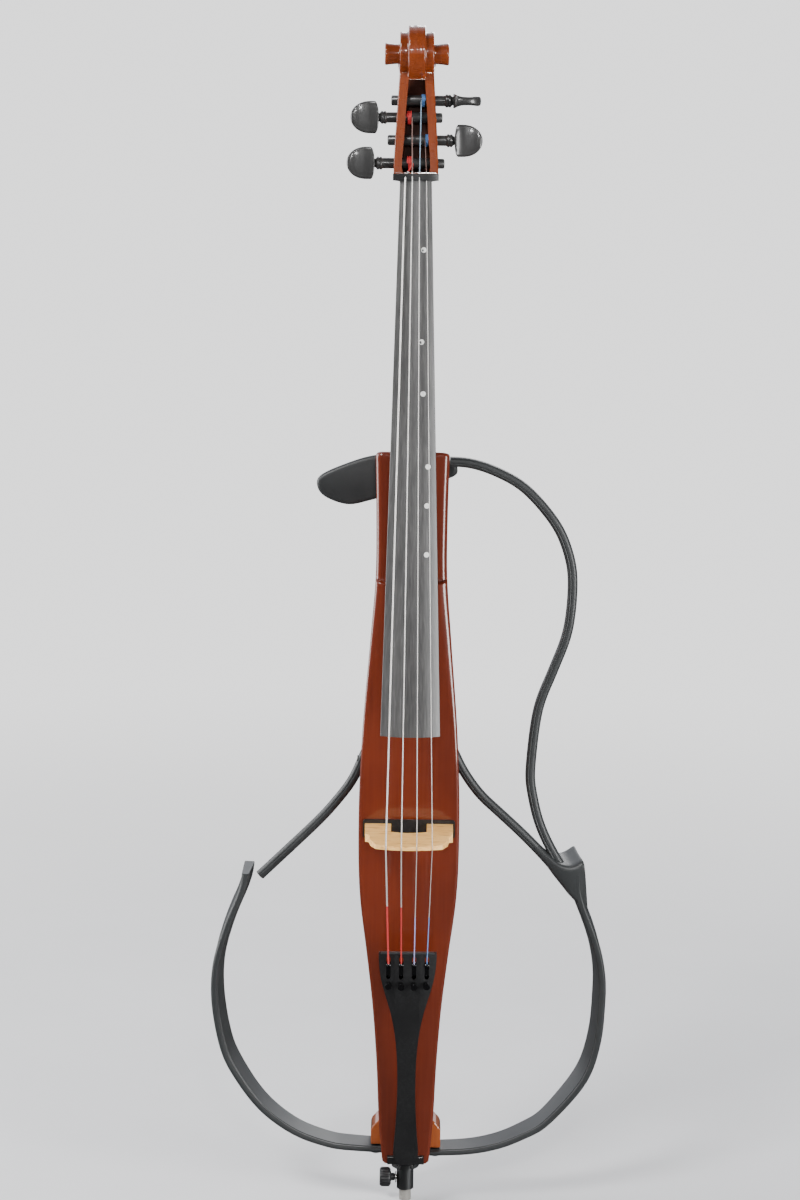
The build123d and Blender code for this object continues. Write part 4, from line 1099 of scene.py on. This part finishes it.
def make_chest_pad():
    """Leaf-shaped rest with soft rounded edges, on a round boss behind the shoulder."""
    outline = smooth_line([(0, 817), (-39, 815.2), (-70.7, 805.9), (-98.4, 792.7), (-101.5, 780),
                           (-91.9, 769), (-68.8, 761.7), (-44.4, 766.4), (0, 780), (41.6, 791.5),
                           (48.4, 801), (40, 810), (0, 817)], 121)[:-1]
    centre = np.array([-30.0, 791.0])
    rings = []
    for inset, y in ((4.2, 36.0), (2.6, 36.3), (1.2, 37.2), (0.2, 38.6), (0.0, 40.0), (0.4, 41.6),
                     (1.6, 42.9), (3.0, 43.7), (4.6, 44.0)):
        ring = []
        for i, p in enumerate(outline):
            a, b = outline[i - 1], outline[(i + 1) % len(outline)]
            d = (b - a) / np.linalg.norm(b - a)
            n = np.array([-d[1], d[0]])
            if np.dot(n, centre - p) < 0:
                n = -n
            ring.append((p[0] + n[0] * inset, y, p[1] + n[1] * inset))
        rings.append(ring)
    boss = lathe([(0, 11.5), (0.3, 12.6), (3.0, 13.0), (4.2, 13.4)], (0, 32.4, PAD_Z), (0, 1, 0))
    piece("chest_rest", *merge(loft(rings), boss), "chest_pad", "frame_black", replaced=("chest_pad",),
          angle=45)


def make_endpin_screw():
    """Fluted black knob with a dished face, its neck and its threaded shank."""
    profile = [(0.0, 4.4), (0.6, 4.6), (0.2, 6.4), (0.0, 8.2), (0.6, 9.6), (2.0, 10.5), (3.6, 10.6),
               (8.6, 10.6), (10.4, 10.3), (11.6, 9.2), (12.3, 7.4), (12.6, 4.2), (16.6, 4.0), (16.9, 2.6)]
    knob = lathe(profile, (-28, 0, CLAMP_Z), (1, 0, 0), 144, flutes=18, depth=0.7)
    threads = [(k * 0.25, 2.5 if k % 4 < 2 else 2.15) for k in range(29)]
    shank = lathe(threads, (-11.4, 0, CLAMP_Z), (1, 0, 0), 24)
    piece("clamp_knob", *merge(knob, shank), "endpin_thumbscrew", slot_of["endpin_thumbscrew"], "knob_black",
          replaced=("endpin_thumbscrew",), angle=40)


make_endpin_screw()
make_scroll()
make_pegs()
make_bouts()
make_rods()
make_chest_pad()


# ---------------------------------------------------------------- strings
def bridge_top_y(x):
    """Depth of the bridge's curved top at x."""
    return BRIDGE_CROWN + 0.0058 * x * x


def string_points(name):
    """The string's route: ball, bridge, nut and peg, with short easy bends."""
    x_tail, x_bridge, x_nut, r, _, z_peg, x_peg = STRINGS[name]
    start = Vector((x_tail, tail_front(STRING_END) + 1.0, STRING_END))
    bridge = Vector((x_bridge, bridge_top_y(x_bridge) - r - 0.35, BRIDGE_Z))
    nut = Vector((x_nut, -55.0 - 1.6 + 0.012 * x_nut * x_nut - r - 0.12, 1107.8))
    end = Vector((x_peg, peg_y(z_peg) - PEG_R - 2 * r - 0.3, z_peg))
    return [start, bridge, nut, end]


def tail_front(z):
    """Depth of the tailpiece's front."""
    return TAIL_Y_END + (z - TAIL_END) * (TAIL_Y_TOP - TAIL_Y_END) / (TAIL_TOP - TAIL_END)


def eased(points, radius):
    """Rounds the corners of a route."""
    line = [points[0]]
    for a, b, c in zip(points, points[1:], points[2:]):
        p, q = b + (a - b).normalized() * radius, b + (c - b).normalized() * radius
        for k in range(7):
            t = k / 6
            line.append(p * (1 - t) ** 2 + b * 2 * t * (1 - t) + q * t ** 2)
    return line + [points[-1]]


def split_at(line, z):
    """The part of a route below height z, and the part above it."""
    for i, (a, b) in enumerate(zip(line, line[1:])):
        if a.z <= z < b.z:
            mid = a + (b - a) * ((z - a.z) / (b.z - a.z))
            return line[:i + 1] + [mid], [mid] + line[i + 1:]
    return line, []


def make_strings():
    """Each string in three parts: silk at the tailpiece, metal, silk at the peg; and its ball end."""
    silk = {"c": ("silk_red", 356), "g": ("silk_red", 355), "d": ("silk_lilac", 343), "a": ("silk_blue", 343)}
    top_silk = {"c": "silk_red", "g": "silk_brown", "d": "silk_pale", "a": "silk_brown"}
    for name, row in STRINGS.items():
        r = row[3]
        line = eased(string_points(name), 2.6)
        low, rest = split_at(line, silk[name][1])
        mid, high = split_at(rest, 1113)
        curve_tube("string_metal_" + name, mid, r, ROOT, "string_metal", ("string_" + name,))
        curve_tube("silk_low_" + name, low, r + 0.10, ROOT, silk[name][0])
        curve_tube("silk_high_" + name, high, r + 0.06, ROOT, top_silk[name])
        x = row[0]
        ball = lathe([(-2.4, 1.0), (-2.2, 1.7), (-1.4, 2.1), (0, 1.8), (1.4, 2.1), (2.2, 1.7), (2.4, 1.0)],
                     (x, tail_front(STRING_END) + 1.0, STRING_END), (1, 0, 0), 24)
        piece("ball_" + name, *ball, ROOT, "string_metal", "black_steel", angle=40)


make_strings()


# ---------------------------------------------------------------- the other CAD nodes
CAD_LOOKS = {"tail_fret": "strip_grey", "endpin_plug": "collar_metal", "endpin_washer": "jack_metal"}
ROUNDED = {
    "nut": 0.5, "bridge": 0.6, "tailpiece": 0.9, "saddle": 1.0, "pickup_plate": 0.4, "tail_fret": 0.3,
    "control_panel": 0.5, "battery_cover": 0.7, "battery_box": 0.4, "volume_knob": 0.6, "reverb_switch": 0.4,
    "power_switch": 0.4, "line_out_jack": 0.25, "mini_jacks": 0.25, "dc_jack": 0.25, "endpin_tip": 0.8,
    "chest_pad_bolt": 0.5, "frame_bolts": 0.4, "small_screws": 0.2, "endpin_washer": 0.25,
    "potentiometer": 0.4, **{"tuner_lever_" + name: 0.3 for name in STRINGS},
}


def dress_the_rest():
    """Materials and softened edges for the CAD pieces that are shown as they are."""
    for name, node in frame["nodes"].items():
        for held in node.material_slots:
            held.material = LOOKS[CAD_LOOKS.get(name, slot_of[name])]
        if name in ROUNDED:
            add_bevel(node, ROUNDED[name])


dress_the_rest()
